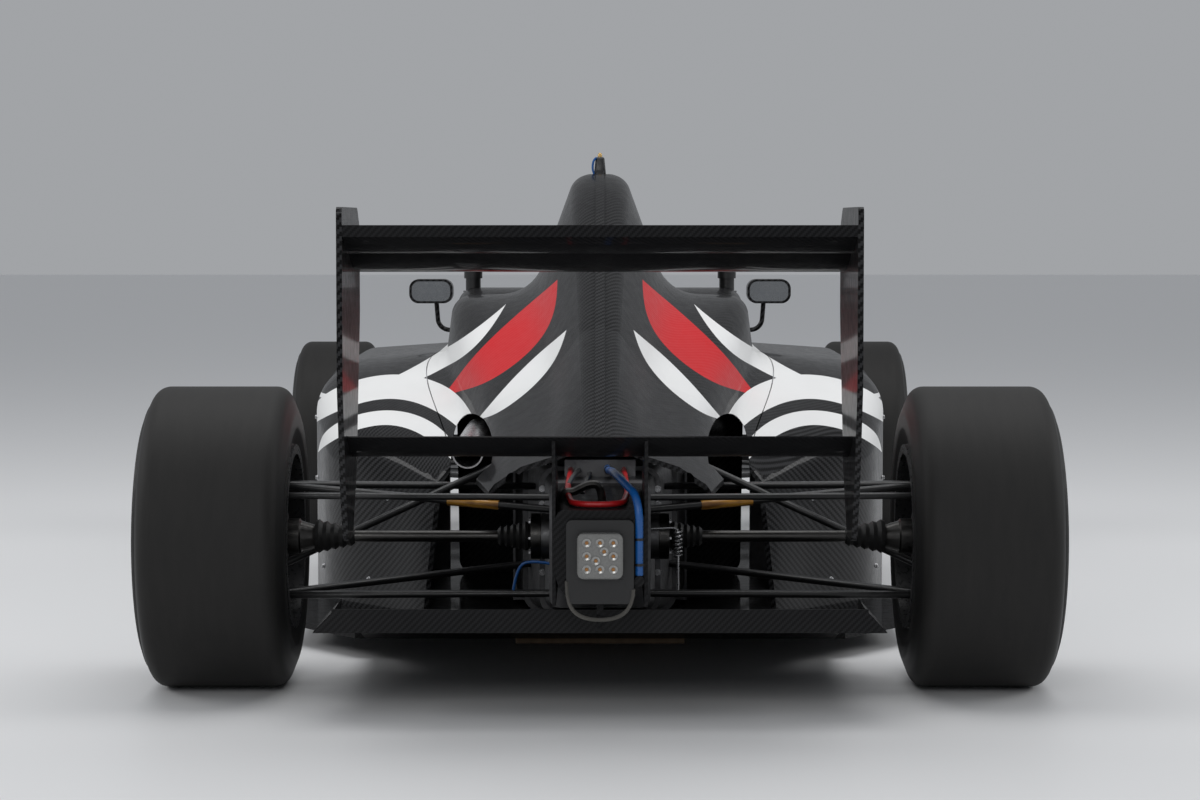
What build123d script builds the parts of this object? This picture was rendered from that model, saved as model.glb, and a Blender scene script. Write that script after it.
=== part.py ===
"""A single-seat open wheel racing car with slick tyres, wings and a carbon fibre body.

X points forward, Y to the driver's left and Z up, in millimetres. The origin is on the ground under the
middle of the car's length. Stations along the car, written u, count forward from the rear axle.
"""

import math
import os

from build123d import *

# Overall layout
WHEELBASE = 2730
FRONT_OVERHANG = 1050
REAR_OVERHANG = 570
FRONT_TRACK = 1502
REAR_TRACK = 1440
LENGTH = FRONT_OVERHANG + WHEELBASE + REAR_OVERHANG
REAR_AXLE_X = REAR_OVERHANG - LENGTH / 2
PANEL_GAP = 0.5
RUNNING_GAP = 0.4

# Wheels and tyres
FRONT_TYRE_DIAMETER = 544
FRONT_TYRE_WIDTH = 228
FRONT_TREAD_WIDTH = 190
FRONT_RIM_WIDTH = 214
REAR_TYRE_DIAMETER = 574
REAR_TYRE_WIDTH = 280
REAR_TREAD_WIDTH = 240
REAR_RIM_WIDTH = 262
BEAD_RADIUS = 165
RIM_LIP = 11
RIM_WALL = 7
RIM_DROP = 15
TYRE_WALL = 11
SPOKE_COUNT = 10
HUB_RADIUS = 62
NUT_BORE = 30
DISC_RADIUS = 125
DISC_THICKNESS = 20
SPINDLE_RADIUS = 27
BEARING_RADIUS = 48

# Underside
PLANK_BOTTOM = 30
PLANK_THICKNESS = 10
PLANK_HALF_WIDTH = 172
FLOOR_THICKNESS = 12
FLOOR_HALF_WIDTH = 650
FLOOR_BOTTOM = PLANK_BOTTOM + PLANK_THICKNESS
FLOOR_TOP = FLOOR_BOTTOM + FLOOR_THICKNESS
DIFFUSER_START = 330
DIFFUSER_END = -400
DIFFUSER_HALF_WIDTH = 478
DIFFUSER_KNEE = -80
DIFFUSER_KNEE_HEIGHT = 140
DIFFUSER_EXIT = 158
DIFFUSER_SHEET = 8
DIFFUSER_LIP = 200
FLICK_WIDTH = 34

# Survival cell and bodywork
TUB_REAR = 1330
TUB_FRONT = 2930
TUB_HALF_WIDTH = 345
TUB_TOP = 714
TUB_WALL = 30
POD_FRONT = 1900
POD_REAR = 480
POD_HALF_WIDTH = 650
COVER_REAR = -40
HOOP_TOP = 1000
HOOP_FRONT = 1500
SKIN = 10
RIB_HEIGHT = 10
RIB_HALF_WIDTH = 10

# Rear wing
WING_HALF_SPAN = 440
ENDPLATE_THICKNESS = 10
ENDPLATE_FRONT = -212
ENDPLATE_TOP = 914
ENDPLATE_BOTTOM = 330
GURNEY_HEIGHT = 20

# Front wing
FRONT_WING_HALF_SPAN = 640
FRONT_ENDPLATE_THICKNESS = 10

# Gearbox and crash structure
GEARBOX_FRONT = 760
GEARBOX_REAR = -120
CRASH_REAR = -470
CRASH_HALF_WIDTH = 78
WING_PLATE = 6
SHAFT_RADIUS = 11

# Suspension and steering
STRUT_CHORD = 26
STRUT_THICKNESS = 13
EYE_RADIUS = 16
EYE_HEIGHT = 20
KINGPIN_OFFSET = 61
STEERING_ARM = 105
RACK_RADIUS = 9

FRONT_AXLE = WHEELBASE
FRONT_AXLE_Z = FRONT_TYRE_DIAMETER / 2
REAR_AXLE_Z = REAR_TYRE_DIAMETER / 2
KINGPIN_Y = FRONT_TRACK / 2 - KINGPIN_OFFSET
NOSE_TIP = WHEELBASE + FRONT_OVERHANG
SIDES = {"left": 1, "right": -1}
parts = {}


def at(u):
    """X of a station u ahead of the rear axle."""
    return REAR_AXLE_X + u


def point(u, y, z):
    return Vector(at(u), y, z)


def mirrored(half):
    """Corners of a left half outline, then their mirror images, as one closed outline."""
    return list(half) + [(-y, z, r) for y, z, r in reversed(half)]


def grown(corners, growth):
    """An outline of (y, z, radius) corners with every edge moved outwards by growth."""
    count = len(corners)
    area = sum(corners[i - 1][0] * corners[i][1] - corners[i][0] * corners[i - 1][1] for i in range(count))
    turn = 1 if area > 0 else -1
    result = []
    for i, (y, z, radius) in enumerate(corners):
        before = corners[i - 1]
        after = corners[(i + 1) % count]
        first = (y - before[0], z - before[1])
        second = (after[0] - y, after[1] - z)
        first_length = math.hypot(*first)
        second_length = math.hypot(*second)
        n1 = (turn * first[1] / first_length, -turn * first[0] / first_length)
        n2 = (turn * second[1] / second_length, -turn * second[0] / second_length)
        share = growth / (1 + n1[0] * n2[0] + n1[1] * n2[1])
        convex = turn * (first[0] * second[1] - first[1] * second[0]) > 0
        new_radius = radius + growth if convex else radius - growth
        result.append((y + share * (n1[0] + n2[0]), z + share * (n1[1] + n2[1]), max(new_radius, 1) if radius else 0))
    return result


def section(u, corners):
    """A face across the car at station u, from rounded (y, z, radius) corners."""
    points = [point(u, y, z) for y, z, _ in corners]
    radii = [r for _, _, r in corners]
    return Face(Wire(FilletPolyline(*points, radius=radii, close=True).edges()))


def combined(weights, rows):
    """The weighted sum of like rows, each of numbers and of corners."""
    if isinstance(rows[0], tuple):
        return tuple(combined(weights, column) for column in zip(*rows))
    return sum(weight * value for weight, value in zip(weights, rows))


def with_middles(rows):
    """The rows of a table by u, with a smoothly blended row in the middle of each step."""
    result = [rows[0]]
    for i in range(1, len(rows)):
        start, end = rows[i - 1], rows[i]
        before, after = rows[max(i - 2, 0)], rows[min(i + 1, len(rows) - 1)]
        step = end[0] - start[0]
        pull_in = step / 8 / (end[0] - before[0])
        pull_out = step / 8 / (after[0] - start[0])
        weights = (0.5 + pull_out, 0.5 + pull_in, -pull_in, -pull_out)
        result.append(combined(weights, (start, end, before, after)))
        result.append(end)
    return result


def body_loft(table, growth=0.0):
    """A smooth body through a table of (u, corner, corner, ...) rows for the left half."""
    return loft([section(u, grown(mirrored(half), growth)) for u, *half in table])


def plan_prism(outline, low, high):
    """An upright prism between two heights, from a plan outline of (u, y) points."""
    base = Face(Wire.make_polygon([point(u, y, low) for u, y in outline], close=True))
    return extrude(base, amount=high - low, dir=(0, 0, 1))


def side_plate(outline, y, thickness, radius=0.0):
    """A plate along the car from a side outline of (u, z) points, thickened from y towards +Y."""
    path = FilletPolyline(*[point(u, y, z) for u, z in outline], radius=radius, close=True)
    return extrude(Face(Wire(path.edges())), amount=thickness, dir=(0, 1, 0))


def block(u_range, y_range, z_range):
    """An upright box between two stations, two sides and two heights."""
    size = [high - low for low, high in (u_range, y_range, z_range)]
    middle = [(low + high) / 2 for low, high in (u_range, y_range, z_range)]
    return Pos(at(middle[0]), middle[1], middle[2]) * Box(*size)


def rod(start, end, radius):
    """A round bar between two points."""
    return extrude(Plane(start, z_dir=end - start) * Circle(radius), amount=(end - start).length)


def strut(start, end, chord=STRUT_CHORD, thickness=STRUT_THICKNESS):
    """A streamlined suspension tube between two points, its long axis along the airflow."""
    along = end - start
    plane = Plane(start, x_dir=Vector(1, 0, 0) - along * (along.X / along.dot(along)), z_dir=along)
    return extrude(plane * SlotOverall(chord, thickness), amount=along.length)


def turned(profile, centre):
    """A ring turned about the axle line through centre, from a face drawn at y as X and radius as Y."""
    upright = Plane(centre, x_dir=(0, 1, 0), z_dir=(1, 0, 0))
    return revolve(upright * profile, axis=Axis(centre, (0, 1, 0)))


def ring(centre, inner, outer, y_low, y_high):
    """A plain ring or disc about an axle line, between two sides."""
    width = y_high - y_low
    disc = Plane(Vector(centre.X, y_low, centre.Z), x_dir=(1, 0, 0), z_dir=(0, 1, 0))
    solid = extrude(disc * Circle(outer), amount=width)
    if inner:
        solid -= extrude(disc * Circle(inner), amount=width)
    return solid


def post(u, y, z_low, z_high, radius):
    """An upright round boss."""
    return Pos(at(u), y, (z_low + z_high) / 2) * Cylinder(radius, z_high - z_low)


def across(solid):
    """The mirror image of a solid on the other side of the car."""
    return mirror(solid, about=Plane.XZ)


def pair(solid):
    return [solid, across(solid)]


def add(name, *solids):
    """Keeps the solids of one named piece."""
    kept = []
    for item in solids:
        kept.extend(item.solids())
    parts[name] = kept


# Survival cell and nose
# u, lower corner (y, z, radius), upper corner (y, z, radius)
TUB = [
    (TUB_REAR, (335, FLOOR_TOP, 30), (TUB_HALF_WIDTH, TUB_TOP, 45)),
    (1620, (335, FLOOR_TOP, 30), (TUB_HALF_WIDTH, TUB_TOP - 2, 45)),
    (1950, (315, FLOOR_TOP, 40), (318, 640, 70)),
    (2300, (255, 58, 50), (240, 585, 90)),
    (2620, (200, 95, 50), (180, 545, 90)),
    (TUB_FRONT, (155, 150, 50), (140, 490, 80)),
]
NOSE = [
    (TUB_FRONT, (155, 150, 50), (140, 490, 80)),
    (3200, (135, 160, 50), (118, 415, 75)),
    (3500, (112, 175, 45), (95, 330, 60)),
    (3700, (85, 190, 35), (72, 270, 35)),
    (NOSE_TIP, (45, 205, 18), (40, 242, 15)),
]
COCKPIT_REAR = 1475
COCKPIT_FRONT = 2210
COCKPIT_HALF_WIDTH = 218
BULKHEAD = 50


def tub_cavity(clearance=0.0):
    """The hollow of the survival cell, between its two bulkheads."""
    rows = [(u, *half) for u, *half in TUB]
    rows[0] = (TUB_REAR + BULKHEAD, *rows[0][1:])
    rows[-1] = (TUB_FRONT - BULKHEAD, *rows[-1][1:])
    return body_loft(rows, -TUB_WALL - clearance)


def cockpit_opening(inset=0.0):
    """The upright cut that opens the cockpit, in plan a rounded tapering slot."""
    half = COCKPIT_HALF_WIDTH - inset
    outline = [
        (COCKPIT_REAR + inset, half),
        (1900, half),
        (COCKPIT_FRONT - inset, half - 70),
        (COCKPIT_FRONT - inset, -half + 70),
        (1900, -half),
        (COCKPIT_REAR + inset, -half),
    ]
    path = FilletPolyline(*[point(u, y, 400) for u, y in outline], radius=[60, 200, 90, 90, 200, 60], close=True)
    return extrude(Face(Wire(path.edges())), amount=400, dir=(0, 0, 1))


RACK_Z = 305
COLUMN_POINT = point(2040, 0, 552)
COLUMN_SLOPE = 12
COLUMN_RADIUS = 12
COLUMN_LENGTH = 400
COLUMN_DIRECTION = Vector(math.cos(math.radians(COLUMN_SLOPE)), 0, -math.sin(math.radians(COLUMN_SLOPE)))


def build_tub():
    """The carbon cell: hollow, open at the cockpit, with a dash bulkhead that carries the steering column."""
    rack_u = FRONT_AXLE + STEERING_ARM
    cell = body_loft(TUB)
    cell -= block((TUB_REAR - 10, TUB_FRONT + 10), (-400, 400), (0, FLOOR_TOP))
    cell -= tub_cavity()
    cell -= cockpit_opening()
    dash = block((2262, 2276), (-300, 300), (430, 640)) & tub_cavity(-5)
    cell += dash
    cell -= rod(COLUMN_POINT, COLUMN_POINT + COLUMN_DIRECTION * COLUMN_LENGTH, COLUMN_RADIUS + RUNNING_GAP)
    cell -= rod(point(rack_u, -400, RACK_Z), point(rack_u, 400, RACK_Z), RACK_RADIUS + RUNNING_GAP)
    return cell


tub = build_tub()
tub_clear = body_loft(TUB, PANEL_GAP)
nose = body_loft(NOSE)
nose_clear = body_loft(NOSE, PANEL_GAP)
add("monocoque", tub)
add("nose_cone", nose)

SEAM_GAP = 2.5
EXHAUST_Y = 262
EXHAUST_Z = 432
EXHAUST_RADIUS = 31
EXHAUST_WALL = 3
EXHAUST_HOLE = 50
LEG_ARCH_Y = 165
LEG_ARCH_Z = 398
LEG_ARCH = 15

# Bodywork behind the cockpit: side pods and engine cover share one form and meet along a seam
# u, seam (y, z)
SEAM = [
    (POD_FRONT, (338, 581)),
    (1620, (353, 583)),
    (TUB_REAR, (360, 584)),
    (1080, (396, 554)),
    (780, (358, 482)),
    (630, (331, 441)),
    (POD_REAR, (305, 385)),
    (220, (264, 392)),
    (COVER_REAR, (212, 376)),
]
# u, foot y, shoulder (y, z, radius)
POD = [
    (POD_FRONT, 640, (640, 560, 70)),
    (1620, 645, (646, 556, 75)),
    (TUB_REAR, POD_HALF_WIDTH, (POD_HALF_WIDTH, 552, 80)),
    (1080, 648, (648, 525, 95)),
    (780, 580, (572, 440, 90)),
    (630, 478, (456, 392, 40)),
    (POD_REAR, 372, (340, 345, 16)),
]
# u, rib height, waist, shoulder, neck and spine as (y, z, radius)
COVER = [
    (TUB_REAR, RIB_HEIGHT, (352, 585, 3), (345, 712, 45), (160, 720, 100), (58, HOOP_TOP, 50)),
    (1080, RIB_HEIGHT, (350, 560, 30), (322, 685, 65), (157, 706, 100), (52, 930, 44)),
    (780, RIB_HEIGHT, (308, 492, 30), (265, 595, 95), (137, 640, 100), (42, 795, 36)),
    (630, RIB_HEIGHT, (288, 458, 25), (243, 555, 92), (124, 600, 95), (38, 730, 33)),
    (POD_REAR, RIB_HEIGHT, (268, 425, 20), (222, 515, 90), (112, 560, 90), (34, 665, 30)),
    (220, RIB_HEIGHT - 2, (242, 416, 20), (190, 465, 60), (100, 500, 70), (30, 570, 26)),
    (COVER_REAR, 1, (202, 390, 16), (150, 424, 30), (90, 443, 30), (24, 470, 18)),
]
seam_at = dict(SEAM)


def cover_section(u, rib, *corners):
    """The engine cover's skin at one station, from its lower edge over a ribbed spine."""
    edge = seam_at[u]
    half = [(*edge, 0), *corners]
    inner = grown(mirrored(half), -SKIN)
    inner[0] = (edge[0], edge[1] - SKIN, 0)
    inner[-1] = (-edge[0], edge[1] - SKIN, 0)
    top = half[-1][1]
    ribbed = half + [(RIB_HALF_WIDTH, top, 0), (RIB_HALF_WIDTH, top + rib, 0)]
    return section(u, mirrored(ribbed) + inner[::-1])


# The cover is lofted in two stretches of few sections, which keeps its edges from waving
cover_front = loft([cover_section(*row) for row in COVER if row[0] >= POD_REAR])
cover_tail = loft([cover_section(*row) for row in COVER if row[0] <= POD_REAR])
cover = cover_front + cover_tail
seam_ends = [Vertex(*point(u, *seam_at[u])) for u in (TUB_REAR, POD_REAR)]
seam_edge = min(cover_front.edges(), key=lambda edge: sum(edge.distance_to(end) for end in seam_ends))


def seam_point(u):
    """The seam at a station: its row in the table, or else a point on the cover's own lower edge."""
    if u in seam_at:
        return seam_at[u]
    across_car = Plane(point(u, 0, 0), z_dir=(1, 0, 0))
    crossing = seam_edge.intersect(across_car).vertices()[0]
    return crossing.Y, crossing.Z


def pod_section(u, foot, shoulder):
    """The left side pod's skin at one station, from the floor over its shoulder to the seam."""
    y, top = seam_point(u)
    y += SEAM_GAP
    inset = grown([(foot, FLOOR_TOP, 0), shoulder, (y, top, 0), (y, FLOOR_TOP, 0)], -SKIN)
    outer = [(foot, FLOOR_TOP, 0), shoulder, (y, top, 0)]
    return section(u, outer + [(y, top - SKIN, 0), inset[1], (foot - SKIN, FLOOR_TOP, 0)])


# The pod runs nearly straight beside the tub, then follows the cover's edge to the rear
pod = loft([pod_section(*row) for row in POD if row[0] >= TUB_REAR], ruled=True)
pod += loft([pod_section(*row) for row in with_middles([row for row in POD if row[0] <= TUB_REAR])])
ARCH_RANGE = (100, 700)


def exhaust_arch(y):
    """The opening for a tail pipe: round above, and open downwards to the edge of the bodywork."""
    arch = rod(point(ARCH_RANGE[0], y, EXHAUST_Z), point(ARCH_RANGE[1], y, EXHAUST_Z), EXHAUST_HOLE)
    return arch + block(ARCH_RANGE, (y - EXHAUST_HOLE, y + EXHAUST_HOLE), (EXHAUST_Z - 2 * EXHAUST_HOLE, EXHAUST_Z))


pod -= exhaust_arch(EXHAUST_Y)
for side in SIDES.values():
    cover -= exhaust_arch(side * EXHAUST_Y)
    arch_y = side * LEG_ARCH_Y
    cover -= rod(point(COVER_REAR - 20, arch_y, LEG_ARCH_Z), point(60, arch_y, LEG_ARCH_Z), LEG_ARCH)

# Roll hoop fairing with its air intake
HOOP = [
    (TUB_REAR, (150, 690, 0), (58, HOOP_TOP, 50)),
    (1420, (125, 690, 0), (52, 985, 45)),
    (HOOP_FRONT, (95, 690, 0), (45, 900, 38)),
]
hoop_clear = body_loft(HOOP, PANEL_GAP)
hoop = body_loft(HOOP) - tub_clear
hoop -= block((1400, HOOP_FRONT + 10), (-200, 200), (0, TUB_TOP + 4))
intake = Plane(point(1380, 0, 870), x_dir=(0, 1, 0), z_dir=(1, 0, 0)) * RectangleRounded(78, 120, 34)
hoop -= extrude(intake, amount=200)
add("roll_hoop", hoop)
antenna = block((1345, 1385), (-17, 17), (960, 1052)) - hoop_clear
add("antenna", antenna)

# Floor, skid plank and diffuser
floor_plan = [(2180, 140), (1990, 315), (1930, 560), (1890, FLOOR_HALF_WIDTH), (520, FLOOR_HALF_WIDTH), (DIFFUSER_START, 500)]
add("floor", plan_prism(floor_plan + [(u, -y) for u, y in reversed(floor_plan)], FLOOR_BOTTOM, FLOOR_TOP))
plank_plan = [(2100, 60), (2020, PLANK_HALF_WIDTH), (DIFFUSER_START, PLANK_HALF_WIDTH)]
add("plank", plan_prism(plank_plan + [(u, -y) for u, y in reversed(plank_plan)], PLANK_BOTTOM, FLOOR_BOTTOM))

roof_line = [(DIFFUSER_START, FLOOR_BOTTOM), (DIFFUSER_KNEE, DIFFUSER_KNEE_HEIGHT), (DIFFUSER_END, DIFFUSER_EXIT)]
roof = roof_line + [(u, z + DIFFUSER_SHEET) for u, z in reversed(roof_line)]
diffuser = side_plate(roof, -DIFFUSER_HALF_WIDTH, 2 * DIFFUSER_HALF_WIDTH, [0, 400, 0, 0, 400, 0])
lip_range = (DIFFUSER_END, DIFFUSER_END + DIFFUSER_SHEET)
diffuser += block(lip_range, (-DIFFUSER_HALF_WIDTH, DIFFUSER_HALF_WIDTH), (DIFFUSER_EXIT, DIFFUSER_LIP))
flick = [
    (DIFFUSER_HALF_WIDTH - 5, DIFFUSER_LIP, 0),
    (DIFFUSER_HALF_WIDTH + FLICK_WIDTH, DIFFUSER_EXIT, 0),
    (DIFFUSER_HALF_WIDTH - 5, DIFFUSER_EXIT, 0),
]
flick_solid = extrude(section(DIFFUSER_END, flick), amount=150, dir=(1, 0, 0))
diffuser += pair(flick_solid)
add("diffuser", diffuser)

# Engine, gearbox and rear crash structure
GEARBOX = [
    (GEARBOX_FRONT, (185, 70, 40), (185, 430, 40)),
    (420, (150, 90, 35), (150, 404, 35)),
    (150, (110, 125, 25), (110, 400, 25)),
    (GEARBOX_REAR, (95, 165, 20), (95, 400, 20)),
]
FLANGE_Y = 112
FLANGE_RADIUS = 44
CASING_FLANGE = 9
CASING_FLANGE_LENGTH = 12
gearbox = body_loft(GEARBOX)
gearbox_clear = body_loft(GEARBOX, RUNNING_GAP)
axle_line = point(0, 0, REAR_AXLE_Z)
gearbox += ring(axle_line, 0, FLANGE_RADIUS, -FLANGE_Y, FLANGE_Y)
for u, *half in GEARBOX[1:3]:
    gearbox += extrude(section(u, grown(mirrored(half), CASING_FLANGE)), amount=CASING_FLANGE_LENGTH, dir=(-1, 0, 0))
SELECTOR_REAR = 20
gearbox += side_plate([(150, 395), (130, 436), (40, 440), (SELECTOR_REAR, 432), (SELECTOR_REAR, 395)], -68, 136)
add("gearbox", gearbox)
add("engine", block((GEARBOX_FRONT, TUB_REAR), (-190, 190), (62, 560)))

# u, lower corner (y, z, radius), upper corner (y, z, radius)
CRASH = [
    (GEARBOX_REAR, (CRASH_HALF_WIDTH, 195, 30), (CRASH_HALF_WIDTH, 395, 12)),
    (CRASH_REAR, (CRASH_HALF_WIDTH, 222, 52), (CRASH_HALF_WIDTH, 385, 16)),
]
TOW_EYE_U = CRASH_REAR + 30
TOW_EYE_Z = 194
TOW_EYE_BORE = 14
TOW_EYE_RADIUS = 26
eye_side = [(TOW_EYE_U + TOW_EYE_RADIUS, 240), (TOW_EYE_U - TOW_EYE_RADIUS, 240)]
eye_foot = [(u, TOW_EYE_Z - TOW_EYE_RADIUS) for u, _ in reversed(eye_side)]
tow_eye = side_plate(eye_side + eye_foot, -6, 12, [0, 0, TOW_EYE_RADIUS - 2, TOW_EYE_RADIUS - 2])
tow_eye -= rod(point(TOW_EYE_U, -10, TOW_EYE_Z), point(TOW_EYE_U, 10, TOW_EYE_Z), TOW_EYE_BORE)

# Coolant hose and breather hose over the crash structure; the first ends in a union on its rear face
HOSE_RADIUS = 7
BREATHER_RADIUS = 5.5
HOSE_Y = -68.5
UNION_Z = 262
UNION_RADIUS = 9
union = rod(point(CRASH_REAR + 5, HOSE_Y, UNION_Z), point(CRASH_REAR - 18, HOSE_Y, UNION_Z), UNION_RADIUS)
add("crash_structure", body_loft(CRASH) + tow_eye + union)
hose_route = [
    point(SELECTOR_REAR - 2 * RUNNING_GAP, -15, 416),
    point(-180, -15, 430),
    point(-340, -25, 440),
    point(CRASH_REAR - 22, HOSE_Y, 408),
    point(CRASH_REAR - 10, HOSE_Y, 330),
    point(CRASH_REAR - 8, HOSE_Y, UNION_Z + UNION_RADIUS + RUNNING_GAP),
]
breather_route = [
    point(SELECTOR_REAR - 2 * RUNNING_GAP, 56, 413),
    point(-300, 60, 400),
    point(-440, 48, 392),
    point(-440, -40, 392),
    point(-300, -50, 400),
    point(SELECTOR_REAR - 2 * RUNNING_GAP, -46, 413),
]


def hose(route, radius, bends):
    """A hose along straight runs with rounded bends."""
    path = FilletPolyline(*route, radius=bends)
    return sweep(Plane(path @ 0, z_dir=path % 0) * Circle(radius), path=path)


add("hose_blue", hose(hose_route, HOSE_RADIUS, [400, 250, 45, 300]))
add("hose_red", hose(breather_route, BREATHER_RADIUS, [300, 40, 40, 300]))
bracket = Plane(point(CRASH_REAR, 0, 296), x_dir=(0, 1, 0), z_dir=(-1, 0, 0)) * RectangleRounded(118, 147, 10)
add("light_bracket", extrude(bracket, amount=22))
lens = Plane(point(CRASH_REAR - 22, 0, 308), x_dir=(0, 1, 0), z_dir=(-1, 0, 0)) * RectangleRounded(80, 80, 12)
add("rain_light", extrude(lens, amount=14))


# Wings
def aerofoil(lead_u, lead_z, chord, angle, belly, top, nose, y_low, y_high, grow=0.0):
    """A wing of constant section: lead edge, chord, angle in degrees, sag of both sides and nose thickness."""
    slope = math.radians(angle)

    def place(back, up):
        u = lead_u - back * math.cos(slope) + up * math.sin(slope)
        z = lead_z + back * math.sin(slope) + up * math.cos(slope)
        return point(u, y_low, z)

    half = nose / 2 + grow
    tail = 1 + grow
    end = chord + grow
    lower = ThreePointArc(place(0, -half), place(chord * 0.5, -belly - grow), place(end, -tail))
    rear = Line(place(end, -tail), place(end, tail))
    upper = ThreePointArc(place(end, tail), place(chord * 0.5, -top + grow), place(0, half))
    front = ThreePointArc(place(0, half), place(-half, 0), place(0, -half))
    outline = Wire([*lower.edges(), *rear.edges(), *upper.edges(), *front.edges()])
    return extrude(Face(outline), amount=y_high - y_low, dir=(0, 1, 0))


main_plane = aerofoil(-225, 808, 214, 7, 18, -2, 16, -WING_HALF_SPAN, WING_HALF_SPAN)
flap = aerofoil(-450, 838, 116, 14.2, 10, 1, 10, -WING_HALF_SPAN, WING_HALF_SPAN)
flap += block((-REAR_OVERHANG, -562), (-WING_HALF_SPAN, WING_HALF_SPAN), (863, 863 + GURNEY_HEIGHT))
add("rear_wing", main_plane, flap)
BEAM = (-318, 478, 186, 11.8, 20, 6, 12)
add("beam_wing", aerofoil(*BEAM, -WING_HALF_SPAN, WING_HALF_SPAN))
beam_clear = aerofoil(*BEAM, -WING_HALF_SPAN, WING_HALF_SPAN, RUNNING_GAP)
endplate_outline = [
    (ENDPLATE_FRONT, 880),
    (-260, ENDPLATE_TOP),
    (-REAR_OVERHANG, ENDPLATE_TOP),
    (-REAR_OVERHANG, 600),
    (-520, 420),
    (-470, ENDPLATE_BOTTOM),
    (-380, ENDPLATE_BOTTOM),
    (-300, 440),
    (ENDPLATE_FRONT, 720),
]
endplate = side_plate(endplate_outline, WING_HALF_SPAN, ENDPLATE_THICKNESS, [30, 30, 12, 30, 60, 30, 30, 80, 80])
add("rear_endplates", *pair(endplate))
plate_outline = [(-125, 212), (-125, 385), (-330, 479), (-410, 483), (-490, 511), (-480, 440), (-455, 212)]
wing_plate = side_plate(plate_outline, CRASH_HALF_WIDTH, WING_PLATE) - beam_clear
add("wing_plates", *pair(wing_plate))

FRONT_MAIN = (3762, 92, 250, 4, 16, -2, 18)
front_main = aerofoil(*FRONT_MAIN, -FRONT_WING_HALF_SPAN, FRONT_WING_HALF_SPAN)
front_clear = aerofoil(*FRONT_MAIN, -FRONT_WING_HALF_SPAN, FRONT_WING_HALF_SPAN, PANEL_GAP)
add("front_wing", front_main)
first_flap = aerofoil(3526, 130, 118, 16, 9, 2, 10, 130, FRONT_WING_HALF_SPAN)
second_flap = aerofoil(3424, 183, 108, 26, 9, 2, 10, 130, FRONT_WING_HALF_SPAN)
add("front_flaps", *pair(first_flap), *pair(second_flap))
front_endplate = [(NOSE_TIP, 58), (NOSE_TIP, 120), (3690, 205), (3320, 250), (3300, 58)]
front_plate = side_plate(front_endplate, FRONT_WING_HALF_SPAN, FRONT_ENDPLATE_THICKNESS, [10, 40, 60, 30, 10])
add("front_endplates", *pair(front_plate))
pillar = side_plate([(3720, 96), (3720, 230), (3560, 230), (3545, 100)], 74, 14) - nose_clear - front_clear
pillar &= block((3500, 3760), (60, 100), (92, 215))
add("nose_pillars", *[s for p in pair(pillar) for s in p.solids()])


# Wheels
def tyre(centre, diameter, width, tread, rim_width):
    radius = diameter / 2
    seat = BEAD_RADIUS + RUNNING_GAP
    half = [
        (rim_width / 2, seat, 0),
        (rim_width / 2, BEAD_RADIUS + RIM_LIP + 2, 0),
        (width / 2, BEAD_RADIUS + 42, 20),
        (width / 2, radius - 50, 30),
        (tread / 2, radius, 28),
    ]
    outer = mirrored(half)
    inner = grown(outer, -TYRE_WALL)
    inner[0] = (inner[0][0], seat, 0)
    inner[-1] = (inner[-1][0], seat, 0)
    corners = outer + inner[::-1]
    path = FilletPolyline(*[(y, r) for y, r, _ in corners], radius=[c[2] for c in corners], close=True)
    return turned(Face(Wire(path.edges())), centre)


def rim(centre, width):
    """A one-piece wheel: barrel with drop centre, dished web and a ring of windows between the spokes."""
    half = width / 2
    seat = BEAD_RADIUS
    drop = BEAD_RADIUS - RIM_DROP
    outer = [(half + 7, seat + RIM_LIP), (half, seat + RIM_LIP), (half, seat), (half - 36, seat), (half - 48, drop)]
    inner = [(half + 7, seat - RIM_WALL), (half - 33, seat - RIM_WALL), (half - 45, drop - RIM_WALL)]
    band = outer + [(-y, r) for y, r in reversed(outer)] + [(-y, r) for y, r in inner] + inner[::-1]
    web = [(2, NUT_BORE), (2, 75), (half - 70, drop - 3), (half - 48, drop - 3), (47, 80), (32, HUB_RADIUS), (32, NUT_BORE)]
    wheel = turned(make_face(Polyline(*band, close=True)), centre) + turned(make_face(Polyline(*web, close=True)), centre)
    window = FilletPolyline((-17, 82), (17, 82), (30, 134), (-30, 134), radius=10, close=True)
    flat = Plane(centre - Vector(0, 30, 0), x_dir=(1, 0, 0), z_dir=(0, 1, 0))
    cutter = extrude(flat * Face(Wire(window.edges())), amount=half + 30)
    turns = [360 * k / SPOKE_COUNT for k in range(SPOKE_COUNT)]
    return wheel - [cutter.rotate(Axis(centre, (0, 1, 0)), turn) for turn in turns]


def spun(steps, axle_u, axle_z):
    """A turned shaft about an axle line, from (y, radius) steps."""
    profile = Polyline((steps[0][0], 0), *steps, (steps[-1][0], 0), close=True)
    return turned(make_face(profile), Vector(at(axle_u), 0, axle_z))


def hub_steps(face, disc):
    """The outer end of a hub: web, brake disc, hat and nose, ending at the wheel's seat at face."""
    low = disc - DISC_THICKNESS / 2
    high = disc + DISC_THICKNESS / 2
    return [
        (low - 8, SPINDLE_RADIUS),
        (low - 8, 36),
        (low + 6, 36),
        (low + 6, 70),
        (low, 70),
        (low, DISC_RADIUS),
        (high, DISC_RADIUS),
        (high, 70),
        (high - 6, 70),
        (high - 6, HUB_RADIUS - 2),
        (face, HUB_RADIUS - 2),
        (face, NUT_BORE - 1),
        (face + 38, NUT_BORE - 1),
    ]


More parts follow.
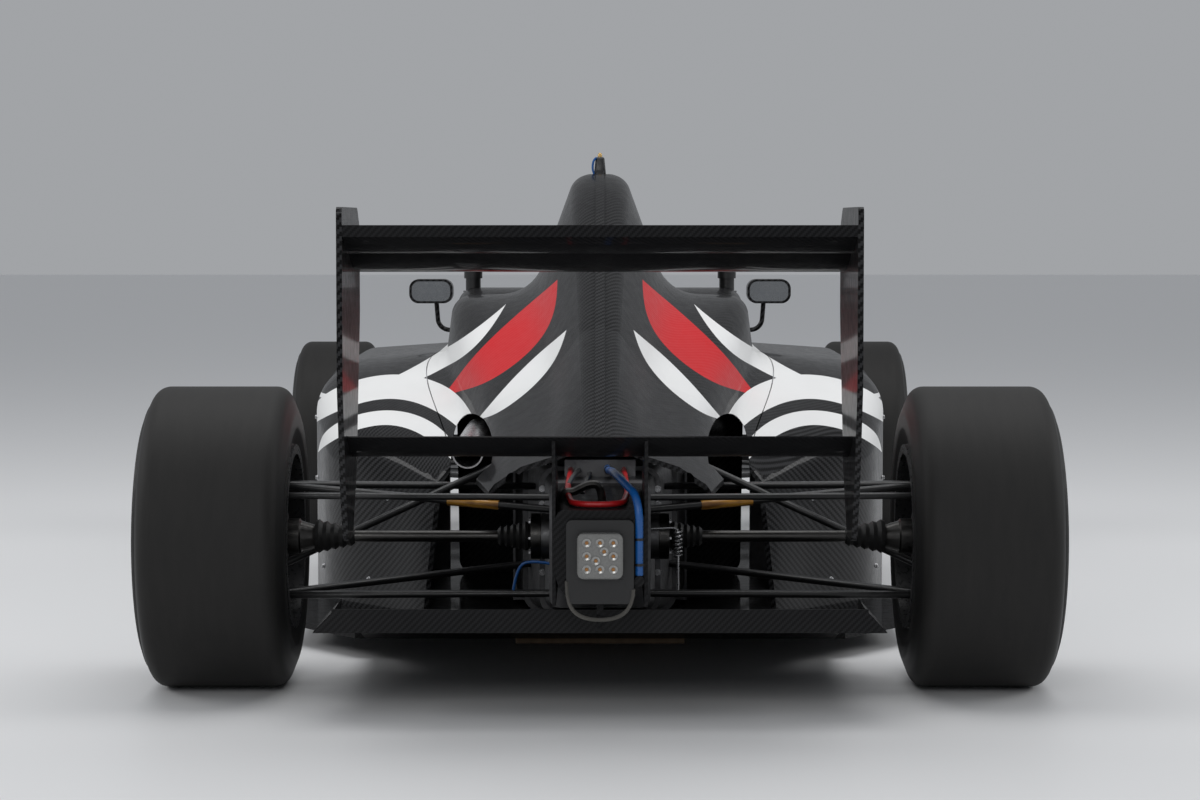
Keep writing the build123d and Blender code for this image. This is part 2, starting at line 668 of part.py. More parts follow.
FRONT_Y = FRONT_TRACK / 2
REAR_Y = REAR_TRACK / 2
WHEEL_FACE = 2
FRONT_DISC_Y = FRONT_Y - 27
REAR_DISC_Y = REAR_Y - 38
FRONT_BEARING = (660, 705)
REAR_BEARING = (600, 660)
front_centre = point(FRONT_AXLE, FRONT_Y, FRONT_AXLE_Z)
rear_centre = point(0, REAR_Y, REAR_AXLE_Z)
front_tyre = tyre(front_centre, FRONT_TYRE_DIAMETER, FRONT_TYRE_WIDTH, FRONT_TREAD_WIDTH, FRONT_RIM_WIDTH)
rear_tyre = tyre(rear_centre, REAR_TYRE_DIAMETER, REAR_TYRE_WIDTH, REAR_TREAD_WIDTH, REAR_RIM_WIDTH)
front_rim = rim(front_centre, FRONT_RIM_WIDTH)
rear_rim = rim(rear_centre, REAR_RIM_WIDTH)
front_hub = spun([(651, 34), (657, 34), (657, SPINDLE_RADIUS)] + hub_steps(FRONT_Y + WHEEL_FACE, FRONT_DISC_Y), FRONT_AXLE, FRONT_AXLE_Z)
driveshaft = [
    (FLANGE_Y + 1, FLANGE_RADIUS),
    (132, FLANGE_RADIUS),
    (135, 24),
    (150, 19),
    (172, 18),
    (176, SHAFT_RADIUS),
    (526, SHAFT_RADIUS),
    (530, 16),
    (572, 30),
    (575, 34),
    (597, 34),
    (597, SPINDLE_RADIUS),
]
rear_hub = spun(driveshaft + hub_steps(REAR_Y + WHEEL_FACE, REAR_DISC_Y), 0, REAR_AXLE_Z)
wheel_parts = {
    "tyre_front": front_tyre,
    "rim_front": front_rim,
    "hub_front": front_hub,
    "tyre_rear": rear_tyre,
    "rim_rear": rear_rim,
    "driveshaft_rear": rear_hub,
}
for name, solid in wheel_parts.items():
    add(name + "_left", solid)
    add(name + "_right", across(solid))


# Uprights with their brake calipers
def upright(axle_u, axle_z, bearing, disc_y, upper, lower):
    """A wheel carrier on one side: bearing ring, arms to both ball joints, caliper behind the axle.

    upper and lower give the joint faces as (y, z)."""
    centre = Vector(at(axle_u), 0, axle_z)
    low, high = bearing
    carrier = ring(centre, 0, BEARING_RADIUS, low, high)
    for y, z in (upper, lower):
        carrier += block((axle_u - 15, axle_u + 15), (low + 2, high - 2), sorted((axle_z, z)))
        near = z + (EYE_RADIUS * 1.5 if z < axle_z else -EYE_RADIUS * 1.5)
        carrier += post(axle_u, y, *sorted((z, near)), EYE_RADIUS)
        carrier += block((axle_u - 12, axle_u + 12), sorted((y, (low + high) / 2)), sorted((z, near)))
    slot_low = disc_y - DISC_THICKNESS / 2 - 5
    slot_high = disc_y + DISC_THICKNESS / 2 + 5
    caliper = ring(centre, 84, 137, slot_low - 12, slot_high + 12) - ring(centre, 0, DISC_RADIUS + 5, slot_low, slot_high)
    caliper &= block((axle_u - 150, axle_u - 60), (0, 1000), (axle_z - 55, axle_z + 55))
    carrier += caliper
    carrier += block((axle_u - 100, axle_u - 20), (slot_low - 12, high), (axle_z - 40, axle_z + 40))
    return carrier - ring(centre, 0, SPINDLE_RADIUS + RUNNING_GAP, low - 5, high + 5)


FRONT_UPPER_Z = FRONT_AXLE_Z + 85
FRONT_LOWER_Z = FRONT_AXLE_Z - 88
front_upper = (KINGPIN_Y, FRONT_UPPER_Z)
front_lower = (KINGPIN_Y, FRONT_LOWER_Z)
RACK_U = FRONT_AXLE + STEERING_ARM
ARM_Y = 672
knuckle = upright(FRONT_AXLE, FRONT_AXLE_Z, FRONT_BEARING, FRONT_DISC_Y, front_upper, front_lower)
arm_top = RACK_Z - EYE_HEIGHT / 2 - RUNNING_GAP
knuckle += block((FRONT_AXLE + 30, RACK_U), (ARM_Y - 10, ARM_Y + 10), (arm_top - 16, arm_top))
knuckle += post(RACK_U, ARM_Y, arm_top - 16, arm_top, 14)
add("upright_front_left", knuckle)
add("upright_front_right", across(knuckle))
REAR_UPPER = (640, 377)
REAR_LOWER = (646, 184)
carrier = upright(0, REAR_AXLE_Z, REAR_BEARING, REAR_DISC_Y, REAR_UPPER, REAR_LOWER)
add("uprights_rear", *pair(carrier))


# Suspension links, trimmed where they meet the cell and the gearbox
def wishbone(eye, inner_ends, trim):
    """Two legs that meet in an eye at the wheel."""
    arm = Pos(*eye) * Cylinder(EYE_RADIUS, EYE_HEIGHT)
    for end in inner_ends:
        arm += strut(eye, end)
    arm -= trim
    return max(arm.solids(), key=lambda solid: solid.volume)


def link(start, end, trim, chord=STRUT_CHORD, thickness=STRUT_THICKNESS):
    bar = strut(start, end, chord, thickness) - trim
    return max(bar.solids(), key=lambda solid: solid.volume)


up = EYE_HEIGHT / 2 + RUNNING_GAP
front_top_eye = point(FRONT_AXLE, KINGPIN_Y, FRONT_UPPER_Z + up)
front_low_eye = point(FRONT_AXLE, KINGPIN_Y, FRONT_LOWER_Z - up)
front_top_ends = [point(2885, 110, 395), point(2500, 120, 405)]
front_low_ends = [point(2885, 110, 205), point(2480, 120, 165)]
front_top = wishbone(front_top_eye, front_top_ends, tub_clear)
front_low = wishbone(front_low_eye, front_low_ends, tub_clear)
front_push = link(point(FRONT_AXLE, 640, 186), point(2690, 100, 520), tub_clear, 22, 14)
add("wishbones_front", *pair(front_top), *pair(front_low + front_push))

rear_top_eye = point(0, REAR_UPPER[0], REAR_UPPER[1] + up)
rear_low_eye = point(0, REAR_LOWER[0], REAR_LOWER[1] - up)
rear_top_ends = [point(330, 90, 352), point(-45, 60, 340)]
rear_low_ends = [point(420, 90, 190), point(-60, 60, 185)]
rear_top = wishbone(rear_top_eye, rear_top_ends, gearbox_clear)
rear_low = wishbone(rear_low_eye, rear_low_ends, gearbox_clear)
add("wishbones_rear", *pair(rear_top), *pair(rear_low))

ROCKER_U = 246
ROCKER_Y = 108
ROCKER_Z = 448
rear_push_ends = (point(26, 606, 232), point(ROCKER_U, ROCKER_Y, ROCKER_Z))
damper = post(ROCKER_U, ROCKER_Y, 404.5, ROCKER_Z + 14, 20)
damper += rod(point(ROCKER_U, 90, 436), point(600, 90, 448), 22)
rear_push = link(*rear_push_ends, damper, 22, 14)
toe_link = link(point(-70, 640, 372), point(-108, 60, 372), gearbox_clear, 20, 12)
add("rear_links", *pair(rear_push), *pair(toe_link))
add("rear_dampers", *pair(damper - gearbox_clear))

# Steering
rack = rod(point(RACK_U, -ARM_Y, RACK_Z), point(RACK_U, ARM_Y, RACK_Z), RACK_RADIUS)
for y in (ARM_Y, -ARM_Y):
    rack += post(RACK_U, y, RACK_Z - EYE_HEIGHT / 2, RACK_Z + EYE_HEIGHT / 2, 14)
add("steering_rack", rack)
wheel_plane = Plane(COLUMN_POINT, x_dir=(0, 1, 0), z_dir=COLUMN_DIRECTION)
grips = RectangleRounded(262, 176, 60) - [Pos(x, 0) * RectangleRounded(66, 108, 26) for x in (82, -82)]
steering = extrude(wheel_plane * grips, amount=24)
steering += extrude(wheel_plane * Circle(COLUMN_RADIUS), amount=COLUMN_LENGTH)
add("steering_wheel", steering)

# Driver's place
cavity_clear = tub_cavity(PANEL_GAP)
back = [(1486, 600), (1690, 112), (1750, 78), (2030, 78), (2090, 170), (2070, 176), (2020, 100), (1762, 100), (1708, 124), (1508, 608)]
side = [(1486, 600), (1690, 112), (1750, 78), (2030, 78), (2090, 170), (1900, 260), (1640, 480), (1570, 600)]
seat = side_plate(back, -190, 380)
for y in (-200, 190):
    seat += side_plate(side, y, 10)
add("seat", seat & cavity_clear)
pad = cockpit_opening(RUNNING_GAP) & block((COCKPIT_REAR, 1850), (-300, 300), (620, 706))
head_room = [(1590, 125), (1900, 150), (1900, -150), (1590, -125)]
pad -= extrude(Face(Wire(FilletPolyline(*[point(u, y, 600) for u, y in head_room], radius=[60, 0, 0, 60], close=True).edges())), amount=200, dir=(0, 0, 1))
add("headrest", pad)
screen = cockpit_opening(-16) - cockpit_opening(-10)
screen &= side_plate([(2080, 540), (2260, 540), (2260, 664), (2215, 664), (2080, 640)], -300, 600)
add("windscreen", screen - tub_clear)

# Filler couplings on the shoulders of the cell
coupling = post(1440, 306, 690, 752, 18) + post(1440, 306, 752, 768, 22) + post(1440, 306, 690, 722, 24)
add("couplings", *pair(coupling - tub_clear))

# Mirrors on bent stalks
MIRROR_U = 1900
mirror_face = Plane(point(MIRROR_U, 436, 709), x_dir=(0, 1, 0), z_dir=(1, 0, 0))
housing = extrude(mirror_face * RectangleRounded(112, 62, 24), amount=60)
housing -= extrude(mirror_face * RectangleRounded(100, 52, 20), amount=6)
stalk_path = FilletPolyline(point(MIRROR_U + 30, 424, 690), point(MIRROR_U + 30, 418, 612), point(MIRROR_U + 30, 290, 596), radius=30)
stalk = sweep(Plane(stalk_path @ 0, z_dir=stalk_path % 0) * Circle(6), path=stalk_path)
mirror_body = housing + (stalk - tub_clear).solids().sort_by(Axis.Z)[-1]
add("mirrors", *pair(mirror_body))
glass = extrude(Plane(point(MIRROR_U + 2, 436, 709), x_dir=(0, 1, 0), z_dir=(1, 0, 0)) * RectangleRounded(99, 51, 19.5), amount=4)
add("mirror_glass", *pair(glass))

# Engine cover, side pods with their radiators, exhaust
add("engine_cover", max(cover.solids(), key=lambda solid: solid.volume))
pod_body = max(pod.solids(), key=lambda solid: solid.volume)
add("sidepods", *pair(pod_body))
radiator = block((1380, 1425), (362, 622), (FLOOR_TOP, 500))
add("radiators", *pair(radiator))
exhaust_route = [
    point(785, 190 + RUNNING_GAP, EXHAUST_Z),
    point(785, EXHAUST_Y, EXHAUST_Z),
    point(180, EXHAUST_Y, EXHAUST_Z),
]
exhaust_path = FilletPolyline(*exhaust_route, radius=62)
exhaust_ring = Circle(EXHAUST_RADIUS) - Circle(EXHAUST_RADIUS - EXHAUST_WALL)
exhaust = sweep(Plane(exhaust_path @ 0, z_dir=exhaust_path % 0) * exhaust_ring, path=exhaust_path)
add("exhaust", exhaust)

os.makedirs("parts", exist_ok=True)
for name, solids in parts.items():
    shape = solids[0] if len(solids) == 1 else Compound(solids)
    export_step(shape, os.path.join("parts", name + ".step"))
print(len(parts), "pieces,", sum(len(solids) for solids in parts.values()), "solids")
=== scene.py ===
# %% [markdown]
# An open wheel racing car, seen from straight behind. The solid model comes in first as a fixed frame:
# every wheel, wing and panel is already in its place, in metres, with X forward, Y to the driver's left
# and Z up. Everything below gives those solids their finish and adds the small pieces that CAD leaves
# out.

# %% Load the frame
import math

import bmesh
import bpy
from mathutils import Matrix, Vector
from mathutils.bvhtree import BVHTree


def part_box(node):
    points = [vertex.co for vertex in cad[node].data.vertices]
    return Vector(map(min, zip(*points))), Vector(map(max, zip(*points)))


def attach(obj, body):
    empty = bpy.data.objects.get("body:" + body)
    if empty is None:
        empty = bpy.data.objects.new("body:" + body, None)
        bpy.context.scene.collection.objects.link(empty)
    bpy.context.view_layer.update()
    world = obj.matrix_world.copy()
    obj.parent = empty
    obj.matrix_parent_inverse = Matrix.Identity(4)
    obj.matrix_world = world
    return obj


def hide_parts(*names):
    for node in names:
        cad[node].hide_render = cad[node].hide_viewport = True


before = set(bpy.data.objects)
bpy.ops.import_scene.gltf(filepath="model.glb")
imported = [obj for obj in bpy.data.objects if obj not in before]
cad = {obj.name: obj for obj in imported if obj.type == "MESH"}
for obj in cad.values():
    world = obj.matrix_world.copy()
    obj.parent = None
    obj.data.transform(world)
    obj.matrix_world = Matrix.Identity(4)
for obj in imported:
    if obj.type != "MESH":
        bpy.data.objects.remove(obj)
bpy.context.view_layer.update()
REAR_AXLE = Vector((-1.605, 0.0, 0.287))
FRONT_AXLE = Vector((1.125, 0.0, 0.272))
SIDES = (("left", 1), ("right", -1))

# %% [markdown]
# Materials and the studio's world are node trees, and small helpers keep them readable. One makes a
# material, one feeds a socket, one does sums, and the others place the nodes that come back often. An
# effect that several finishes share becomes a node group with named sockets, so that it is built only
# once.

# %% Node helpers
def finish_material(name):
    """A new material, with its node tree and its shader."""
    material = bpy.data.materials.new(name)
    material.use_nodes = True
    return material, material.node_tree, material.node_tree.nodes["Principled BSDF"]


def feed(tree, socket, value):
    """Puts a number, colour or other node's output on a socket."""
    if isinstance(value, bpy.types.NodeSocket):
        tree.links.new(value, socket)
    else:
        socket.default_value = value


def calc(tree, operation, *values):
    """One sum on numbers or outputs."""
    node = tree.nodes.new("ShaderNodeMath")
    node.operation = operation
    for socket, value in zip(node.inputs, values):
        feed(tree, socket, value)
    return node.outputs[0]


def blend_colour(tree, mask, first, second):
    """first where mask is 0, second where it is 1. A colour is three numbers or an output."""
    node = tree.nodes.new("ShaderNodeMix")
    node.data_type = "RGBA"
    feed(tree, node.inputs[0], mask)
    for socket, colour in ((node.inputs[6], first), (node.inputs[7], second)):
        feed(tree, socket, (*colour, 1) if isinstance(colour, tuple) else colour)
    return node.outputs[2]


def tint(tree, shader, mask, first, second):
    """Gives a shader its colour: first where mask is 0, second where it is 1."""
    feed(tree, shader.inputs["Base Color"], blend_colour(tree, mask, first, second))


def spread(tree, value, low, high, from_low=0.0, from_high=1.0):
    """Maps a value from one range to another and holds it there."""
    node = tree.nodes.new("ShaderNodeMapRange")
    for socket, number in zip(node.inputs, (value, from_low, from_high, low, high)):
        feed(tree, socket, number)
    return node.outputs[0]


def noise(tree, place, scale, detail=3.0, roughness=0.5):
    node = tree.nodes.new("ShaderNodeTexNoise")
    feed(tree, node.inputs["Vector"], place)
    feed(tree, node.inputs["Scale"], scale)
    node.inputs["Detail"].default_value = detail
    node.inputs["Roughness"].default_value = roughness
    return node.outputs[0]


def object_place(tree):
    return tree.nodes.new("ShaderNodeTexCoord").outputs["Object"]


def split(tree, vector):
    """The three numbers of a vector."""
    node = tree.nodes.new("ShaderNodeSeparateXYZ")
    tree.links.new(vector, node.inputs[0])
    return node.outputs


def bump(tree, shader, height, strength, distance):
    node = tree.nodes.new("ShaderNodeBump")
    node.inputs["Strength"].default_value = strength
    node.inputs["Distance"].default_value = distance
    feed(tree, node.inputs["Height"], height)
    tree.links.new(node.outputs[0], shader.inputs["Normal"])


def new_group(name, inputs, outputs):
    """A shader node group with named float inputs and outputs."""
    tree = bpy.data.node_groups.new(name, "ShaderNodeTree")
    for label, value in inputs:
        tree.interface.new_socket(label, in_out="INPUT", socket_type="NodeSocketFloat").default_value = value
    for label in outputs:
        tree.interface.new_socket(label, in_out="OUTPUT", socket_type="NodeSocketFloat")
    return tree, tree.nodes.new("NodeGroupInput").outputs, tree.nodes.new("NodeGroupOutput").inputs


def place_group(tree, group, **values):
    """Places a group with its own values and returns its outputs."""
    node = tree.nodes.new("ShaderNodeGroup")
    node.node_tree = group
    for label, value in values.items():
        feed(tree, node.inputs[label], value)
    return node.outputs


def dress(material, *names):
    """Gives a finish to CAD nodes."""
    for name in names:
        for holder in cad[name].material_slots:
            holder.material = material
    print(material.name, "on", ", ".join(names))


# %% [markdown]
# A black car shows its form only in reflections, so the studio is built from large soft boxes rather than
# small lamps: one wide panel overhead, one from behind the camera and a long strip on each side. The
# world has two tones: a fill that lights the car, and a slightly darker grey wherever the camera, a
# reflection or glass looks at it, so that black lacquer mirrors less of it and stays dark.

# %% Floor and world
floor_mesh = bmesh.new()
bmesh.ops.create_grid(floor_mesh, x_segments=1, y_segments=1, size=40)
floor_data = bpy.data.meshes.new("studio_floor")
floor_mesh.to_mesh(floor_data)
floor_mesh.free()
pale_floor, _, shader = finish_material("pale_floor")
shader.inputs["Base Color"].default_value = (0.72, 0.72, 0.72, 1)
shader.inputs["Roughness"].default_value = 0.5
floor_data.materials.append(pale_floor)
floor = bpy.data.objects.new("studio_floor", floor_data)
bpy.context.collection.objects.link(floor)

world = bpy.data.worlds.new("studio")
bpy.context.scene.world = world
world.use_nodes = True
tree = world.node_tree
fill = tree.nodes["Background"]
fill.inputs["Color"].default_value = (0.84, 0.87, 0.92, 1)
fill.inputs["Strength"].default_value = 0.5
pale = tree.nodes.new("ShaderNodeBackground")
pale.inputs["Color"].default_value = (0.36, 0.37, 0.385, 1)
seen = tree.nodes.new("ShaderNodeLightPath").outputs
looked_at = calc(tree, "MAXIMUM", seen["Is Camera Ray"], seen["Is Glossy Ray"])
looked_at = calc(tree, "MAXIMUM", looked_at, seen["Is Transmission Ray"])
choose = tree.nodes.new("ShaderNodeMixShader")
for socket, source in zip(choose.inputs, (looked_at, fill.outputs[0], pale.outputs[0])):
    tree.links.new(source, socket)
tree.links.new(choose.outputs[0], tree.nodes["World Output"].inputs["Surface"])
bpy.context.scene.view_settings.view_transform = "Standard"
print("floor and world ready")

# %% [markdown]
# A soft box is an area light: it shines from a whole rectangle, so its reflection on lacquer is a broad,
# soft patch. A table holds the four of them, and each is turned from its place towards its target.

# %% Soft boxes
# name, place, target, width, height, watts
SOFT_BOXES = [
    ("overhead", (-0.6, 0, 4.2), (-0.6, 0, 0), 3.0, 5.0, 95),
    ("behind_camera", (-8.5, 1.5, 3.6), (-1.8, 0, 0.4), 4.0, 2.2, 95),
    ("left_strip", (-1.0, 8.0, 4.6), (-0.8, 0, 0.3), 7.0, 2.4, 190),
    ("right_strip", (-1.0, -8.0, 4.6), (-0.8, 0, 0.3), 7.0, 2.4, 190),
]
for name, place, target, width, height, watts in SOFT_BOXES:
    panel = bpy.data.lights.new(name, "AREA")
    panel.shape = "RECTANGLE"
    panel.size = width
    panel.size_y = height
    panel.energy = watts
    lamp = bpy.data.objects.new(name, panel)
    aim = (Vector(target) - Vector(place)).to_track_quat("-Z", "Y")
    lamp.matrix_world = Matrix.Translation(place) @ aim.to_matrix().to_4x4()
    bpy.context.collection.objects.link(lamp)
print("soft boxes", len(SOFT_BOXES))

# %% [markdown]
# The camera stands 5.4 m behind the rear axle on the centre line, 0.89 m up, with a lens of about 85 mm
# that looks slightly down. That puts the rear wing in the upper half of the frame and both rear tyres
# inside it.

# %% Camera
FRAME_WIDTH = 1200
FRAME_HEIGHT = 800
FOCAL_PIXELS = 2830
HORIZON_ROW = 221
CAMERA_BACK = 5.4
CAMERA_HEIGHT = 0.89
lens = bpy.data.cameras.new("photo_camera")
lens.sensor_width = 36.0
lens.lens = FOCAL_PIXELS / FRAME_WIDTH * lens.sensor_width
camera = bpy.data.objects.new("photo_camera", lens)
camera.location = (REAR_AXLE.x - CAMERA_BACK, 0.0, CAMERA_HEIGHT)
tilt = math.atan2(FRAME_HEIGHT / 2 - HORIZON_ROW, FOCAL_PIXELS)
camera.rotation_euler = (math.pi / 2 - tilt, 0.0, -math.pi / 2)
bpy.context.collection.objects.link(camera)
bpy.context.scene.camera = camera
print("camera tilt", round(math.degrees(tilt), 2))

# %% [markdown]
# The body is carbon fibre cloth under clear lacquer. The cloth is a twill: each tow passes over two and
# under two, and the steps run as diagonals. The pattern is counted from Object coordinates on the two
# axes that lie nearest to the surface, so it keeps one size on every panel without unwrapping them.

# %% Twill weave group
weave, weave_in, weave_out = new_group("twill_weave", [("Tow", 0.004)], ["Over", "Height"])
coords = weave.nodes.new("ShaderNodeTexCoord").outputs
place_x, place_y, place_z = split(weave, coords["Object"])
across_x, across_y, across_z = [calc(weave, "ABSOLUTE", out) for out in split(weave, coords["Normal"])]
is_top = calc(weave, "GREATER_THAN", across_z, calc(weave, "MAXIMUM", across_x, across_y))
is_side = calc(weave, "GREATER_THAN", across_y, across_x)
along_car = calc(weave, "MAXIMUM", is_top, is_side)


def either(tree, mask, first, second):
    """second where mask is 1, else first."""
    rest = calc(tree, "SUBTRACT", 1.0, mask)
    return calc(tree, "ADD", calc(tree, "MULTIPLY", mask, second), calc(tree, "MULTIPLY", rest, first))


warp = calc(weave, "DIVIDE", either(weave, along_car, place_y, place_x), weave_in["Tow"])
weft = calc(weave, "DIVIDE", either(weave, is_top, place_z, place_y), weave_in["Tow"])
diagonal = calc(weave, "ADD", calc(weave, "FLOOR", warp), calc(weave, "FLOOR", weft))
over = calc(weave, "LESS_THAN", calc(weave, "FLOORED_MODULO", diagonal, 4.0), 1.5)


def tow_round(count):
    """Height across one tow, from its edges to its crown."""
    off = calc(weave, "SUBTRACT", calc(weave, "MULTIPLY", calc(weave, "FRACT", count), 2.0), 1.0)
    return calc(weave, "SUBTRACT", 1.0, calc(weave, "MULTIPLY", off, off))


weave.links.new(over, weave_out["Over"])
weave.links.new(either(weave, over, tow_round(weft), tow_round(warp)), weave_out["Height"])
print("weave nodes", len(weave.nodes))

# %% [markdown]
# Handling leaves haze and fine dust on every surface of a car that has run. One group makes a soft mask
# of smudges from two sizes of noise, and each finish uses it to vary its roughness and tint.

# %% Smudge group
smudge, smudge_in, smudge_out = new_group("smudges", [("Scale", 6.0)], ["Mask", "Fine"])
FINE_TIMES = 9.0
broad = noise(smudge, object_place(smudge), smudge_in["Scale"], 4.0)
fine_scale = calc(smudge, "MULTIPLY", smudge_in["Scale"], FINE_TIMES)
fine = noise(smudge, object_place(smudge), fine_scale, 4.0)
smudge.links.new(spread(smudge, broad, 0.0, 1.0, 0.42, 0.68), smudge_out["Mask"])
smudge.links.new(spread(smudge, fine, 0.0, 1.0, 0.35, 0.7), smudge_out["Fine"])
print("smudge nodes", len(smudge.nodes))

# %% [markdown]
# The body carries stripes that sweep down over the flanks and out along the pods. Each stripe is an arc
# in the plane across the car, pointed at both ends, and the size of Y without its sign makes both sides
# alike. Paint on a surface is easiest as a mask: no extra skin can lift off or flicker against the panel.

# %% Arc stripe group
STRIPE_SIZES = [
    ("Centre Y", 0.6), ("Centre Z", 1.0), ("Radius", 0.5), ("Width", 0.05), ("Low Z", 0.4), ("High Z", 0.8),
]
arc_stripe, stripe_in, stripe_out = new_group("arc_stripe", STRIPE_SIZES, ["Mask"])
_, stripe_y, stripe_z = split(arc_stripe, object_place(arc_stripe))
out_y = calc(arc_stripe, "SUBTRACT", calc(arc_stripe, "ABSOLUTE", stripe_y), stripe_in["Centre Y"])
out_z = calc(arc_stripe, "SUBTRACT", stripe_z, stripe_in["Centre Z"])
squares = [calc(arc_stripe, "MULTIPLY", out, out) for out in (out_y, out_z)]
from_centre = calc(arc_stripe, "SQRT", calc(arc_stripe, "ADD", *squares))
off_line = calc(arc_stripe, "ABSOLUTE", calc(arc_stripe, "SUBTRACT", from_centre, stripe_in["Radius"]))
along = spread(arc_stripe, stripe_z, 0.0, 1.0, stripe_in["Low Z"], stripe_in["High Z"])
swell = calc(arc_stripe, "SINE", calc(arc_stripe, "MULTIPLY", along, math.pi))
half_width = calc(arc_stripe, "MULTIPLY", stripe_in["Width"], calc(arc_stripe, "MULTIPLY", swell, 0.5))
arc_stripe.links.new(calc(arc_stripe, "LESS_THAN", off_line, half_width), stripe_out["Mask"])
print("stripe nodes", len(arc_stripe.nodes))

# %% [markdown]
# Three carbon finishes share the weave. Body panels are lacquered, so a clear coat lies over the cloth,
# and the panels behind the cockpit are striped as well. The floor, wings and inner parts have a satin
# resin.

# %% Carbon finishes
HAZE = (0.06, 0.058, 0.055)


def carbon(name, dark, light, tow, roughness, coat, stripes=()):
    """Carbon cloth, with painted stripes from a table of colours and arc sizes."""
    material, tree, shader = finish_material(name)
    cloth = place_group(tree, weave, Tow=tow)
    marks = place_group(tree, smudge, Scale=5.0)
    # The over tows take the lighter colour: painted sheen of the fibres, laid on the real twill pattern,
    # relief and roughness.
    look = blend_colour(tree, cloth["Over"], dark, light)
    relief = cloth["Height"]
    for colour, *sizes in stripes:
        labels = [label for label, _ in STRIPE_SIZES]
        painted = place_group(tree, arc_stripe, **dict(zip(labels, sizes)))["Mask"]
        look = blend_colour(tree, painted, look, colour)
        relief = calc(tree, "MAXIMUM", relief, painted)
    tint(tree, shader, calc(tree, "MULTIPLY", marks["Mask"], 0.05), look, HAZE)
    rough = calc(tree, "ADD", calc(tree, "MULTIPLY", cloth["Over"], 0.12), roughness)
    rough = calc(tree, "ADD", rough, calc(tree, "MULTIPLY", marks["Fine"], 0.1))
    feed(tree, shader.inputs["Roughness"], rough)
    bump(tree, shader, relief, 0.35, 0.0004)
    shader.inputs["Specular IOR Level"].default_value = 0.04
    shader.inputs["Coat Weight"].default_value = coat
    shader.inputs["Coat Roughness"].default_value = 0.05
    shader.inputs["Coat IOR"].default_value = 1.42
    return material


WHITE = (0.78, 0.78, 0.77)
RED = (0.55, 0.012, 0.016)
# colour, centre y, centre z, radius, width, low z, high z
STRIPES = [
    (RED, 0.66, 1.06, 0.640, 0.080, 0.50, 0.76),
    (WHITE, 0.66, 1.06, 0.572, 0.036, 0.47, 0.70),
    (WHITE, 0.66, 1.06, 0.712, 0.040, 0.47, 0.66),
    (WHITE, 0.46, 0.24, 0.280, 0.050, 0.40, 0.60),
    (WHITE, 0.46, 0.24, 0.222, 0.030, 0.36, 0.52),
]
# The under tows keep the cloth's own near black. The over tows' lighter colour is painted sheen.
CLOTH_DARK = (0.0012, 0.0012, 0.0014)
CLOTH_SHEEN = (0.026, 0.026, 0.0275)
lacquered = carbon("lacquered_carbon", CLOTH_DARK, CLOTH_SHEEN, 0.004, 0.3, 0.3)
striped = carbon("striped_carbon", CLOTH_DARK, CLOTH_SHEEN, 0.004, 0.3, 0.3, STRIPES)
# The satin cloth's lighter over tows are painted sheen as well.
satin_carbon = carbon("satin_carbon", (0.005, 0.005, 0.0055), (0.013, 0.013, 0.014), 0.003, 0.4, 0.2)
dress(lacquered, "monocoque", "nose_cone", "roll_hoop", "rear_endplates", "mirrors")
dress(striped, "engine_cover", "sidepods")
dress(satin_carbon, "floor", "diffuser", "rear_wing", "beam_wing", "front_wing", "front_flaps")
dress(satin_carbon, "front_endplates", "nose_pillars", "wing_plates", "crash_structure", "seat")

# %% [markdown]
# A slick tyre has two surfaces. The tread is scrubbed by the road: dull, slightly brown, with fine marks
# round the wheel. The side wall keeps its moulded skin and is smoother. The radius from the axle tells
# them apart, and a Mapping node moves the axle to the pattern's centre.

# %% Tyre rubber
def tyre_rubber(name, axle):
    """Rubber for the tyres on an axle, whose height is the tread's radius."""
    material, tree, shader = finish_material(name)
    about_axle = tree.nodes.new("ShaderNodeMapping")
    about_axle.inputs["Location"].default_value = (-axle.x, 0.0, -axle.z)
    tree.links.new(object_place(tree), about_axle.inputs["Vector"])
    fore, side, rise = split(tree, about_axle.outputs[0])
    squares = [calc(tree, "MULTIPLY", reach, reach) for reach in (fore, rise)]
    radius = calc(tree, "SQRT", calc(tree, "ADD", *squares))
    tread = spread(tree, radius, 0.0, 1.0, axle.z - 0.03, axle.z - 0.012)
    turn = calc(tree, "ARCTAN2", rise, fore)
    round_wheel = tree.nodes.new("ShaderNodeCombineXYZ")
    feed(tree, round_wheel.inputs[0], calc(tree, "MULTIPLY", side, 60.0))
    feed(tree, round_wheel.inputs[1], calc(tree, "MULTIPLY", calc(tree, "SINE", turn), 3.0))
    feed(tree, round_wheel.inputs[2], calc(tree, "MULTIPLY", calc(tree, "COSINE", turn), 3.0))
    scrub = noise(tree, round_wheel.outputs[0], 1.0, 5.0, 0.6)
    pores = noise(tree, object_place(tree), 420.0, 2.0)
    worn = blend_colour(tree, scrub, (0.0060, 0.0058, 0.0056), (0.0150, 0.0140, 0.0130))
    skin = spread(tree, pores, 0.0, 1.0, 0.4, 0.7)
    wall = blend_colour(tree, skin, (0.0055, 0.0055, 0.0055), (0.0095, 0.0095, 0.0095))
    tint(tree, shader, tread, wall, worn)
    feed(tree, shader.inputs["Roughness"], spread(tree, tread, 0.46, 0.66))
    shader.inputs["Specular IOR Level"].default_value = 0.35
    scuffs = calc(tree, "MULTIPLY", scrub, tread)
    bump(tree, shader, calc(tree, "ADD", scuffs, calc(tree, "MULTIPLY", pores, 0.5)), 0.3, 0.0006)
    return material


dress(tyre_rubber("rear_tyre_rubber", REAR_AXLE), "tyre_rear_left", "tyre_rear_right")
dress(tyre_rubber("front_tyre_rubber", FRONT_AXLE), "tyre_front_left", "tyre_front_right")

# %% [markdown]
# Castings have a fine pebbled skin, turned and ground steel is smooth, painted rims are black with brake
# dust, and hoses and moulded rubber have a grain of their own. They differ in few numbers, so one
# function makes them all from a colour, a roughness, the size of the grain and how much dirt lies on it.

